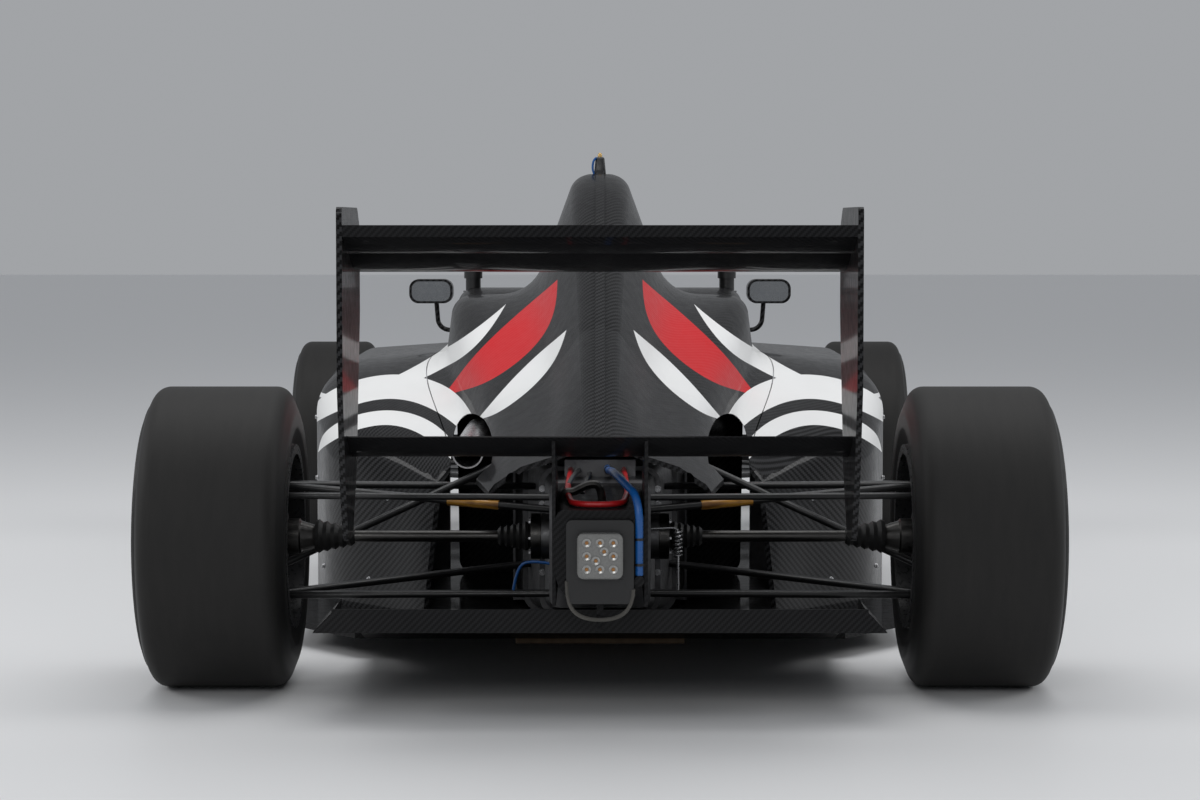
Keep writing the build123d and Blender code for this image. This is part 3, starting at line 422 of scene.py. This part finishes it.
# %% Metals, paints and rubber
def grained(name, colour, roughness, grain, metallic=1.0, dirt=0.3, relief=0.2):
    """A finish with a fine grain, soiled where the smudges lie."""
    material, tree, shader = finish_material(name)
    marks = place_group(tree, smudge, Scale=14.0)
    soiled = tuple(c * 0.45 for c in colour)
    tint(tree, shader, calc(tree, "MULTIPLY", marks["Mask"], dirt), colour, soiled)
    rough = spread(tree, marks["Fine"], roughness - 0.06, roughness + 0.12)
    feed(tree, shader.inputs["Roughness"], rough)
    shader.inputs["Metallic"].default_value = metallic
    bump(tree, shader, noise(tree, object_place(tree), grain), relief, 0.0006)
    return material


cast_alloy = grained("cast_alloy", (0.17, 0.17, 0.175), 0.45, 320.0, dirt=0.6, relief=0.4)
turned_steel = grained("turned_steel", (0.5, 0.5, 0.51), 0.28, 60.0, relief=0.05)
black_paint = grained("black_paint", (0.008, 0.008, 0.0085), 0.36, 180.0, metallic=0.0, dirt=0.2)
rim_paint = grained("rim_paint", (0.02, 0.02, 0.021), 0.3, 120.0, metallic=0.0, dirt=0.5)
core_alloy = grained("core_alloy", (0.12, 0.12, 0.125), 0.5, 500.0, relief=0.8)
rubber = grained("moulded_rubber", (0.009, 0.009, 0.009), 0.5, 260.0, metallic=0.0, dirt=0.4)
red_hose = grained("red_hose", (0.42, 0.010, 0.012), 0.32, 150.0, metallic=0.0, dirt=0.35)
blue_hose = grained("blue_hose", (0.006, 0.085, 0.30), 0.32, 150.0, metallic=0.0, dirt=0.35)
ground_shaft = grained("ground_shaft", (0.07, 0.068, 0.066), 0.34, 90.0, relief=0.1)
dress(cast_alloy, "gearbox", "engine", "uprights_rear", "upright_front_left", "upright_front_right")
dress(turned_steel, "hub_front_left", "hub_front_right")
dress(ground_shaft, "driveshaft_rear_left", "driveshaft_rear_right")
dress(red_hose, "hose_red")
dress(blue_hose, "hose_blue")
dress(turned_steel, "exhaust", "rear_dampers", "steering_rack")
dress(black_paint, "couplings", "light_bracket", "antenna", "wishbones_front", "wishbones_rear", "rear_links")
dress(rim_paint, "rim_front_left", "rim_front_right", "rim_rear_left", "rim_rear_right")
dress(core_alloy, "radiators")
dress(rubber, "steering_wheel", "headrest")

# %% [markdown]
# The last few finishes are single purpose: a laminated wood skid plank, the clear wind deflector,
# silvered mirror glass and the frosted lens of the rain light.

# %% Plank, screen, mirror and lens
plank_board, tree, shader = finish_material("plank_board")
stretched = tree.nodes.new("ShaderNodeMapping")
stretched.inputs["Scale"].default_value = (1.5, 60.0, 60.0)
tree.links.new(object_place(tree), stretched.inputs["Vector"])
tint(tree, shader, noise(tree, stretched.outputs[0], 1.0, 4.0), (0.09, 0.055, 0.03), (0.22, 0.15, 0.085))
shader.inputs["Roughness"].default_value = 0.7
dress(plank_board, "plank")

screen, _, shader = finish_material("clear_screen")
shader.inputs["Base Color"].default_value = (0.75, 0.78, 0.8, 1)
shader.inputs["Roughness"].default_value = 0.06
shader.inputs["Transmission Weight"].default_value = 0.9
dress(screen, "windscreen")

silvered = grained("mirror_glass", (0.30, 0.31, 0.32), 0.1, 40.0, dirt=0.1, relief=0.0)
dress(silvered, "mirror_glass")

lens_grey, tree, shader = finish_material("light_lens")
frosting = noise(tree, object_place(tree), 300.0, 2.0)
tint(tree, shader, frosting, (0.15, 0.15, 0.145), (0.23, 0.23, 0.22))
shader.inputs["Roughness"].default_value = 0.25
dress(lens_grey, "rain_light")

# %% [markdown]
# The solids stop at the size of a hand, so lamp bowls, boots, bolts and straps are modelled here. The
# helpers work as a maker's tools do: a lathe turns a profile about an axis, a bolt is set on a surface, a
# tube follows a smooth line and faces are pulled into a slab. Rays find the places on the solids, and one
# helper finishes a mesh as a piece that moves with a body of the car.

# %% Piece helpers
def ahead(u, y, z):
    """A point u metres ahead of the rear axle."""
    return Vector((REAR_AXLE.x + u, y, z))


def make_piece(name, bm, material, body):
    """Closes a mesh and keeps it as a piece of the car that moves with a body."""
    bmesh.ops.remove_doubles(bm, verts=bm.verts, dist=1e-6)
    bmesh.ops.recalc_face_normals(bm, faces=bm.faces)
    mesh = bpy.data.meshes.new(name)
    bm.to_mesh(mesh)
    bm.free()
    mesh.shade_smooth()
    mesh.set_sharp_from_angle(angle=math.radians(35))
    mesh.materials.append(material)
    piece = bpy.data.objects.new(name, mesh)
    bpy.context.collection.objects.link(piece)
    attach(piece, body)
    print(name, len(mesh.polygons), "faces on", body)
    return piece


def lathe(bm, profile, centre, axis, steps=24):
    """A turned shape: (along, radius) points spun about an axis. A ring ends on its first point."""
    axis = Vector(axis).normalized()
    side = axis.orthogonal().normalized()
    line = [bm.verts.new(Vector(centre) + axis * along + side * radius) for along, radius in profile]
    edges = [bm.edges.new(two) for two in zip(line, line[1:])]
    full = 2 * math.pi
    bmesh.ops.spin(bm, geom=line + edges, cent=centre, axis=axis, angle=full, steps=steps, use_merge=True)


def bolt(bm, spot, direction, size):
    """A hexagon head on a round washer, its foot sunk a little in the surface."""
    turn = Vector(direction).to_track_quat("Z", "Y").to_matrix().to_4x4()
    for sides, radius, low, high in ((16, size, -0.2, 0.15), (6, size * 0.7, 0.0, 0.7)):
        middle = Matrix.Translation(Vector(spot) + Vector(direction) * size * (low + high) / 2)
        bmesh.ops.create_cone(
            bm, cap_ends=True, segments=sides, radius1=radius, radius2=radius * 0.92,
            depth=size * (high - low), matrix=middle @ turn,
        )


def tube(bm, points, radius):
    """A round tube along a smooth line through control points."""
    curve = bpy.data.curves.new("line", "CURVE")
    curve.dimensions = "3D"
    curve.bevel_depth = radius
    curve.bevel_resolution = 2
    curve.use_fill_caps = True
    spline = curve.splines.new("NURBS")
    spline.points.add(len(points) - 1)
    for control, place in zip(spline.points, points):
        control.co = (*place, 1.0)
    spline.order_u = 3
    spline.use_endpoint_u = True
    spline.resolution_u = 5
    holder = bpy.data.objects.new("line", curve)
    mesh = bpy.data.meshes.new_from_object(holder)
    bm.from_mesh(mesh)
    bpy.data.objects.remove(holder)
    bpy.data.curves.remove(curve)
    bpy.data.meshes.remove(mesh)


def pull_faces(bm, way):
    """Draws all faces of a flat mesh along a way, into a closed slab."""
    drawn = bmesh.ops.extrude_face_region(bm, geom=bm.faces[:], use_keep_orig=True)
    moved = [part for part in drawn["geom"] if isinstance(part, bmesh.types.BMVert)]
    bmesh.ops.translate(bm, vec=way, verts=moved)


def surface(*names):
    """A search tree over CAD nodes, to seat small pieces on them."""
    joined = bmesh.new()
    for name in names:
        joined.from_mesh(cad[name].data)
    tree = BVHTree.FromBMesh(joined)
    joined.free()
    return tree


def hit(tree, start, direction):
    """The first point of a surface along a ray, and the way that it faces there."""
    spot, normal, _, _ = tree.ray_cast(start, direction)
    return spot, normal


# %% [markdown]
# The rain light is the one lamp on the car: a square pod with ten emitters, each a bright pressed bowl
# with an amber chip at its foot, inside a thin black edge. The bowls are turned, because a real reflector
# is a turned form too, and stand just proud of the lamp's rear face.

# %% Rain light
chrome = grained("reflector_chrome", (0.34, 0.34, 0.33), 0.26, 60.0, dirt=0.25, relief=0.02)
amber = grained("amber_chip", (0.30, 0.13, 0.03), 0.3, 200.0, metallic=0.0, dirt=0.3)
lamp_low, lamp_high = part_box("rain_light")
lamp_face = Vector((lamp_low.x, 0.0, (lamp_low.z + lamp_high.z) / 2))
LED_PITCH = 0.0232
LED_INNER = Vector((0.0, -0.0072, 0.0080))
BOWL = 0.0078
BACKWARD = Vector((-1, 0, 0))
bowl_inside = [(0.0022, BOWL * 0.86), (0.0008, BOWL * 0.5), (0.0003, 0.0)]
bowl_profile = [(-0.001, BOWL), (0.0022, BOWL), *bowl_inside, (-0.001, 0.0), (-0.001, BOWL)]
chip_profile = [(0.0002, 0.0), (0.0002, 0.0034), (0.0018, 0.0030), (0.0022, 0.0)]
ring_steps = [(i, j) for i in (-1, 0, 1) for j in (-1, 0, 1) if (i, j) != (0, 0)]
led_spots = [lamp_face + Vector((0.0, i * LED_PITCH, j * LED_PITCH)) for i, j in ring_steps]
led_spots += [lamp_face + LED_INNER, lamp_face - LED_INNER]
bowls = bmesh.new()
chips = bmesh.new()
for spot in led_spots:
    lathe(bowls, bowl_profile, spot, BACKWARD, 20)
    lathe(chips, chip_profile, spot, BACKWARD, 10)
make_piece("light_bowls", bowls, chrome, "chassis")
make_piece("light_chips", chips, amber, "chassis")

# four walls without thickness, drawn back from the lamp's outline
BEZEL_DEPTH = 0.004
bezel = bmesh.new()
half = (lamp_high.y - lamp_low.y) / 2
corners = [Vector((0.0, y * half, z * half)) for y, z in ((-1, -1), (1, -1), (1, 1), (-1, 1))]
outline = [bezel.verts.new(lamp_face + corner) for corner in corners]
drawn = [bezel.verts.new(vert.co + BACKWARD * BEZEL_DEPTH) for vert in outline]
for k in range(len(outline)):
    bezel.faces.new((outline[k - 1], outline[k], drawn[k], drawn[k - 1]))
make_piece("light_bezel", bezel, black_paint, "chassis")

# %% [markdown]
# Each drive shaft runs in rubber boots that keep grease in its joints. A boot is a bellows: rings that
# step down from the joint's housing to the bare shaft, clamped at both ends. Turning one zigzag profile
# makes it, and it rides on the wheel, because it turns with the shaft. Six screws hold the inner flange.

# %% Shaft boots and flange screws
BOOT_RINGS = 5
RING_RISE = 0.004
BOOT_BORE = 0.008
# start and end from the car's middle, first and last radius
BOOTS = [(0.137, 0.196, 0.026, 0.014), (0.470, 0.545, 0.014, 0.030)]
FLANGE_FACE = 0.132
FLANGE_CIRCLE = 0.034
FLANGE_SCREWS = 6
FLANGE_SCREW_SIZE = 0.0062


def boot_profile(start, end, first, last):
    """A closed bellows profile from radius first to last, with rings that stand out between."""
    outer = []
    for k in range(2 * BOOT_RINGS + 1):
        share = k / (2 * BOOT_RINGS)
        radius = first + (last - first) * share
        outer.append((start + (end - start) * share, radius + (RING_RISE if k % 2 else 0.0)))
    return outer + [(end, BOOT_BORE), (start, BOOT_BORE)] + outer[:1]


for side, sign in SIDES:
    body = "wheel_rear_" + side
    outward = Vector((0, sign, 0))
    boots = bmesh.new()
    for sizes in BOOTS:
        lathe(boots, boot_profile(*sizes), REAR_AXLE, outward, 28)
    make_piece("shaft_boots_" + side, boots, rubber, body)
    screws = bmesh.new()
    for k in range(FLANGE_SCREWS):
        turn = 2 * math.pi * k / FLANGE_SCREWS
        reach = Vector((math.cos(turn), 0.0, math.sin(turn))) * FLANGE_CIRCLE
        bolt(screws, REAR_AXLE + reach + outward * FLANGE_FACE, outward, FLANGE_SCREW_SIZE)
    make_piece("flange_screws_" + side, screws, turned_steel, body)

# %% [markdown]
# The upper rear arms pass close to the tail pipes, so a short stretch of each is wound in amber heat
# tape. The sleeve starts as a circle, is flattened to the arm's streamlined section and drawn along it,
# and its turns of tape are diagonal bands in the material.

# %% Heat tape on the upper arms
heat_tape, tree, shader = finish_material("heat_tape")
lean = tree.nodes.new("ShaderNodeTexWave")
lean.inputs["Scale"].default_value = 26.0
lean.inputs["Distortion"].default_value = 3.0
tree.links.new(object_place(tree), lean.inputs["Vector"])
tint(tree, shader, lean.outputs[0], (0.16, 0.065, 0.008), (0.46, 0.22, 0.03))
feed(tree, shader.inputs["Roughness"], spread(tree, lean.outputs[0], 0.5, 0.3))
bump(tree, shader, lean.outputs[0], 0.5, 0.001)
TAPE_CHORD = 0.0165
TAPE_HEIGHT = 0.0098
TAPE_START_Y = 0.290
TAPE_LENGTH = 0.098
ARM_EYE_Y = 0.640
for side, sign in SIDES:
    eye = ahead(0.0, sign * ARM_EYE_Y, 0.3874)
    inner = ahead(-0.045, sign * 0.060, 0.340)
    along = (inner - eye).normalized()
    start = eye + along * ((ARM_EYE_Y - TAPE_START_Y) / abs(along.y))
    across = (Vector((1, 0, 0)) - along * along.x).normalized()
    turn = Matrix((across, along.cross(across), along)).transposed().to_4x4()
    sleeve = bmesh.new()
    bmesh.ops.create_circle(sleeve, cap_ends=True, segments=20, radius=1.0)
    bmesh.ops.scale(sleeve, vec=(TAPE_CHORD, TAPE_HEIGHT, 1.0), verts=sleeve.verts)
    bmesh.ops.transform(sleeve, matrix=Matrix.Translation(start) @ turn, verts=sleeve.verts)
    pull_faces(sleeve, along * TAPE_LENGTH)
    make_piece("heat_tape_" + side, sleeve, heat_tape, "chassis")

# %% [markdown]
# Pipes, ties and a wire fill the space round the gearbox. The pipes and the wire are tubes bent along a
# few control points, whose ends lie in the casing, the crash structure or the lower arm. The ties are
# thin bands round the blue hose.

# %% Pipes, ties and wire
PIPE_RADIUS = 0.0045
BREATHER_RADIUS = 0.0075
BREATHER_U = -0.33
WIRE_RADIUS = 0.0028
WIRE_U = -0.05
pipes = bmesh.new()
for y, height in ((0.040, 0.412), (0.020, 0.405), (-0.034, 0.409)):
    rising = [ahead(0.022, y, height), ahead(-0.10, y, height + 0.012)]
    falling = [ahead(-0.20, y * 1.4, height), ahead(-0.24, y * 1.6, 0.392)]
    tube(pipes, rising + falling, PIPE_RADIUS)
make_piece("gearbox_pipes", pipes, black_paint, "chassis")

ties = bmesh.new()
# place and line of the hose at each tie
TIES = [
    (ahead(-0.20, -0.016, 0.4315), (1, 0, 0)),
    (ahead(-0.4805, -0.0685, 0.335), (0, 0, 1)),
    (ahead(-0.479, -0.0685, 0.290), (0, 0, 1)),
]
tie_profile = [(-0.0022, 0.0066), (-0.0022, 0.0084), (0.0022, 0.0084), (0.0022, 0.0066), (-0.0022, 0.0066)]
for spot, line in TIES:
    lathe(ties, tie_profile, spot, line, 16)
make_piece("hose_ties", ties, black_paint, "chassis")

big_pipe = bmesh.new()
bend = [(0.068, 0.386), (0.066, 0.404), (0.048, 0.403), (0.034, 0.411)]
bend += [(0.018, 0.418), (-0.002, 0.416), (-0.004, 0.386)]
tube(big_pipe, [ahead(BREATHER_U, y, z) for y, z in bend], BREATHER_RADIUS)
make_piece("breather_pipe", big_pipe, ground_shaft, "chassis")

wire = bmesh.new()
wire_line = [(0.165, 0.188), (0.158, 0.236), (0.128, 0.246), (0.095, 0.240)]
tube(wire, [ahead(WIRE_U, y, z) for y, z in wire_line], WIRE_RADIUS)
make_piece("sensor_wire", wire, blue_hose, "chassis")

# %% [markdown]
# A return spring hangs from a hook on the casing and pulls on a rod at the lower arm. The coil is a tube
# along a helix, because a wound spring is a wire of one thickness, and the hook and rod are tubes too.
# Studs stand in a column on each side of the casing, where a ray from behind finds the flat faces.

# %% Return spring and casing studs
TURNS = 7
STEPS_PER_TURN = 12
COIL_RADIUS = 0.0072
SPRING_LENGTH = 0.052
SPRING_WIRE = 0.0017
SPRING_U = -0.052
SPRING_Y = -0.148
HOOK_RADIUS = 0.0022
spring = bmesh.new()
spring_foot = ahead(SPRING_U, SPRING_Y, 0.252)
spring_head = spring_foot + Vector((0, 0, SPRING_LENGTH))
helix = []
for k in range(TURNS * STEPS_PER_TURN + 1):
    turn = 2 * math.pi * k / STEPS_PER_TURN
    rise = k / (TURNS * STEPS_PER_TURN) * SPRING_LENGTH
    helix.append(spring_foot + Vector((math.cos(turn) * COIL_RADIUS, math.sin(turn) * COIL_RADIUS, rise)))
tube(spring, helix, SPRING_WIRE)
hook = [ahead(SPRING_U, -0.094, 0.306), ahead(SPRING_U, -0.125, 0.308)]
hook += [spring_head + Vector((0, 0, 0.004)), spring_head - Vector((0, 0, 0.006))]
tube(spring, hook, HOOK_RADIUS)
pull_rod = [spring_foot + Vector((0, 0, 0.006)), spring_foot]
pull_rod += [ahead(SPRING_U, SPRING_Y, 0.22), ahead(SPRING_U, SPRING_Y, 0.186)]
tube(spring, pull_rod, HOOK_RADIUS)
make_piece("return_spring", spring, turned_steel, "chassis")

STUD_Y = 0.1135
STUD_SIZE = 0.007
STUD_HEIGHTS = (0.16, 0.20, 0.24, 0.335, 0.365, 0.395)
studs = bmesh.new()
casing = surface("gearbox")
for y in (-STUD_Y, STUD_Y):
    for z in STUD_HEIGHTS:
        spot, normal = hit(casing, ahead(-0.2, y, z), Vector((1, 0, 0)))
        if spot and normal.x < -0.5:
            bolt(studs, spot, normal, STUD_SIZE)
make_piece("casing_studs", studs, turned_steel, "chassis")

# %% [markdown]
# A loop of grey webbing hangs under the lamp as a towing strap. It is drawn as a tube along the loop and
# then widened along the car to a flat band, because webbing bends in one direction only.

# %% Towing strap
strap_cloth = grained("strap_webbing", (0.10, 0.095, 0.085), 0.85, 900.0, metallic=0.0, dirt=0.5, relief=0.7)
STRAP_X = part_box("light_bracket")[0].x + 0.006
STRAP_RADIUS = 0.0035
STRAP_WIDENING = 3.0
strap = bmesh.new()
loop = [(0.058, 0.262), (0.058, 0.232), (0.046, 0.206), (0.020, 0.194)]
loop += [(-0.020, 0.194), (-0.046, 0.206), (-0.058, 0.232), (-0.058, 0.248)]
tube(strap, [Vector((STRAP_X, y, z)) for y, z in loop], STRAP_RADIUS)
about_strap = Matrix.Translation((-STRAP_X, 0, 0))
bmesh.ops.scale(strap, vec=(STRAP_WIDENING, 1.0, 1.0), verts=strap.verts, space=about_strap)
make_piece("towing_strap", strap, strap_cloth, "chassis")

# %% [markdown]
# Screws hold the panels. They stand on the end plates of the rear wing and along the sides of the body,
# and a ray from the side finds the place and the direction of each.

# %% Panel screws
# ahead of the rear axle, height
PLATE_SCREWS = [(-0.30, 0.82), (-0.40, 0.83), (-0.50, 0.84), (-0.30, 0.47), (-0.38, 0.46), (-0.26, 0.60)]
SIDE_SCREWS = [(1.10, 0.30), (1.10, 0.44), (1.20, 0.12), (0.90, 0.12)]
SIDE_SCREWS += [(0.66, 0.12), (0.62, 0.30), (1.50, 0.12), (1.80, 0.12)]
PLATE_SCREW_SIZE = 0.006
SIDE_SCREW_SIZE = 0.0065
screws = bmesh.new()
panels = surface("rear_endplates", "sidepods", "engine_cover", "monocoque")
for _, sign in SIDES:
    for size, places in ((PLATE_SCREW_SIZE, PLATE_SCREWS), (SIDE_SCREW_SIZE, SIDE_SCREWS)):
        for u, z in places:
            spot, normal = hit(panels, ahead(u, sign * 1.0, z), Vector((0, -sign, 0)))
            if spot:
                bolt(screws, spot, normal, size)
make_piece("panel_screws", screws, turned_steel, "chassis")

# %% [markdown]
# On top of the roll hoop stands a short antenna: a black fin with a brass tip and a blue lead up its left
# side. The fin is a tapered slab with bevelled edges, and it replaces the plain block of the solid model.

# %% Antenna
low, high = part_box("antenna")
middle = (low + high) / 2
span = high - low
TIP_HEIGHT = 0.010
FIN_WIDTH = 0.85
FIN_TOP_WIDTH = 0.72
FIN_TOP_LENGTH = 0.7
fin = bmesh.new()
bmesh.ops.create_cube(fin, size=1.0)
bmesh.ops.scale(fin, vec=(span.x, span.y * FIN_WIDTH, span.z - TIP_HEIGHT), verts=fin.verts)
bmesh.ops.translate(fin, vec=middle - Vector((0, 0, TIP_HEIGHT / 2)), verts=fin.verts)
for vert in fin.verts:
    if vert.co.z > middle.z:
        vert.co.y *= FIN_TOP_WIDTH
        vert.co.x = vert.co.x * FIN_TOP_LENGTH + middle.x * (1 - FIN_TOP_LENGTH)
bmesh.ops.bevel(fin, geom=fin.edges[:], offset=0.005, affect="EDGES", segments=3, profile=0.5, material=-1)
fin_piece = make_piece("antenna_fin", fin, black_paint, "chassis")

brass = grained("brass_tip", (0.45, 0.30, 0.12), 0.3, 120.0, relief=0.05)
tip = bmesh.new()
tip_profile = [(-0.016, 0.0), (-0.016, 0.005), (-0.004, 0.005), (-0.002, 0.004), (0.0, 0.002), (0.0, 0.0)]
lathe(tip, tip_profile, Vector((middle.x, 0.0, high.z)), (0, 0, 1), 16)
make_piece("antenna_tip", tip, brass, "chassis")
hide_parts("antenna")

LEAD_RADIUS = 0.0026
lead = bmesh.new()
lead_line = [(0.013, 0.002), (0.0175, 0.010), (0.0175, 0.026), (0.014, 0.038), (0.008, 0.0415)]
tube(lead, [Vector((low.x + 0.006, y, low.z + rise)) for y, rise in lead_line], LEAD_RADIUS)
make_piece("antenna_lead", lead, blue_hose, "chassis")

# %% [markdown]
# The driver's head rests in a padded collar round the cockpit's rear edge. Foam under a tight cover has
# soft edges and a slight crown. A copy of the solid is remeshed into even faces, its points are smoothed
# so that the corners draw in, and the result takes the solid's place.

# %% Padded headrest
pad_cloth, tree, shader = finish_material("pad_cloth")
threads = place_group(tree, weave, Tow=0.0016)
tint(tree, shader, threads["Over"], (0.010, 0.010, 0.011), (0.026, 0.026, 0.028))
shader.inputs["Roughness"].default_value = 0.85
bump(tree, shader, threads["Height"], 0.5, 0.0005)
pad = bmesh.new()
pad.from_mesh(cad["headrest"].data)
bmesh.ops.remove_doubles(pad, verts=pad.verts, dist=1e-5)
pad_piece = make_piece("headrest_pad", pad, pad_cloth, "chassis")
remesh = pad_piece.modifiers.new("even_faces", "REMESH")
remesh.mode = "VOXEL"
remesh.voxel_size = 0.007
soften = pad_piece.modifiers.new("soft_edges", "SMOOTH")
soften.factor = 0.5
soften.iterations = 10
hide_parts("headrest")

# %% [markdown]
# The steering wheel carries two columns of buttons on its middle block, and turns with its column. They
# are laid out on the wheel's face, which leans back by twelve degrees towards the driver.

# %% Steering wheel controls
LEAN = math.radians(12)
face_out = Vector((-math.cos(LEAN), 0.0, math.sin(LEAN)))
face_up = Vector((math.sin(LEAN), 0.0, math.cos(LEAN)))
wheel_face = surface("steering_wheel")
wheel_centre = Vector((0.435, 0.0, 0.552))
ring_profile = [(-0.001, 0.0), (-0.001, 0.009), (0.003, 0.009), (0.003, 0.0)]
cap_profile = [(0.003, 0.0), (0.003, 0.006), (0.007, 0.005), (0.007, 0.0)]
rings = bmesh.new()
caps = bmesh.new()
for y, up in [(y, up) for y in (-0.034, 0.034) for up in (-0.03, 0.0, 0.03)]:
    start = wheel_centre + Vector((0, y, 0)) + face_up * up + face_out * 0.2
    spot, _ = hit(wheel_face, start, -face_out)
    if spot:
        lathe(rings, ring_profile, spot, face_out, 18)
        lathe(caps, cap_profile, spot, face_out, 18)
make_piece("button_rings", rings, turned_steel, "steering")
make_piece("button_caps", caps, red_hose, "steering")

# %% [markdown]
# Two shoulder belts lie down the seat's back. Webbing is flat and follows what it lies on, so each belt
# is a strip of faces dropped onto the seat by rays and then given its thickness.

# %% Shoulder belts
webbing = grained("belt_webbing", (0.035, 0.036, 0.04), 0.8, 700.0, metallic=0.0, dirt=0.2, relief=0.6)
seat_face = surface("seat")
BELT_WIDTH = 0.05
BELT_Y = 0.075
BELT_TOP = 0.56
BELT_DROP = 0.36
BELT_STEPS = 14
WEBBING = 0.002
for side, sign in SIDES:
    belt = bmesh.new()
    rows = []
    for k in range(BELT_STEPS + 1):
        height = BELT_TOP - BELT_DROP * k / BELT_STEPS
        row = []
        for edge in (-0.5, 0.5):
            start = Vector((1.0, sign * BELT_Y + edge * BELT_WIDTH, height))
            spot, _ = hit(seat_face, start, BACKWARD)
            if spot:
                row.append(belt.verts.new(spot - BACKWARD * WEBBING))
        if len(row) == 2:
            rows.append(row)
    for (a, b), (c, d) in zip(rows, rows[1:]):
        belt.faces.new((a, b, d, c))
    bmesh.ops.recalc_face_normals(belt, faces=belt.faces)
    bmesh.ops.solidify(belt, geom=belt.faces[:], thickness=WEBBING)
    make_piece("shoulder_belt_" + side, belt, webbing, "chassis")

# %% [markdown]
# Each wheel is held by one centre nut, and its tyre has raised ribs moulded on the side wall. Both are
# turned forms that ride on the wheel. Rays find the hub's face and the side wall, so that they sit on the
# solids.

# %% Wheel nuts and side wall ribs
RIB_DEPTHS = (0.048, 0.034)
RIB_MARGIN = 0.0003
# along the axle from the surface found, and away from the rib's middle
rib_profile = [(-0.002, -0.0035), (0.0012, -0.002), (0.0012, 0.002), (-0.002, 0.0035), (-0.002, -0.0035)]
nut_foot = [(-0.002, 0.0), (-0.002, 0.029), (0.004, 0.029), (0.010, 0.022)]
nut_profile = nut_foot + [(0.022, 0.020), (0.022, 0.013), (0.012, 0.012), (0.012, 0.0)]
for end, axle, shaft in (("front", FRONT_AXLE, "hub_"), ("rear", REAR_AXLE, "driveshaft_")):
    for side, sign in SIDES:
        name = end + "_" + side
        outward = Vector((0, sign, 0))
        outside = axle + outward * 1.2
        wall = surface("tyre_" + name)
        widest = max(abs(corner.y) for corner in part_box("tyre_" + name)) - RIB_MARGIN
        ribs = bmesh.new()
        for depth in RIB_DEPTHS:
            radius = axle.z - depth
            spot, _ = hit(wall, outside + Vector((0, 0, radius)), -outward)
            if spot:
                rib = [(min(abs(spot.y) + out, widest), radius + off) for out, off in rib_profile]
                lathe(ribs, rib, axle, outward, 72)
        make_piece("wall_ribs_" + name, ribs, rubber, "wheel_" + name)
        spot, _ = hit(surface("rim_" + name, shaft + name), outside, -outward)
        nut = bmesh.new()
        if spot:
            lathe(nut, [(abs(spot.y) + out, r) for out, r in nut_profile], axle, outward, 12)
        paint = red_hose if side == "left" else blue_hose
        make_piece("wheel_nut_" + name, nut, paint, "wheel_" + name)
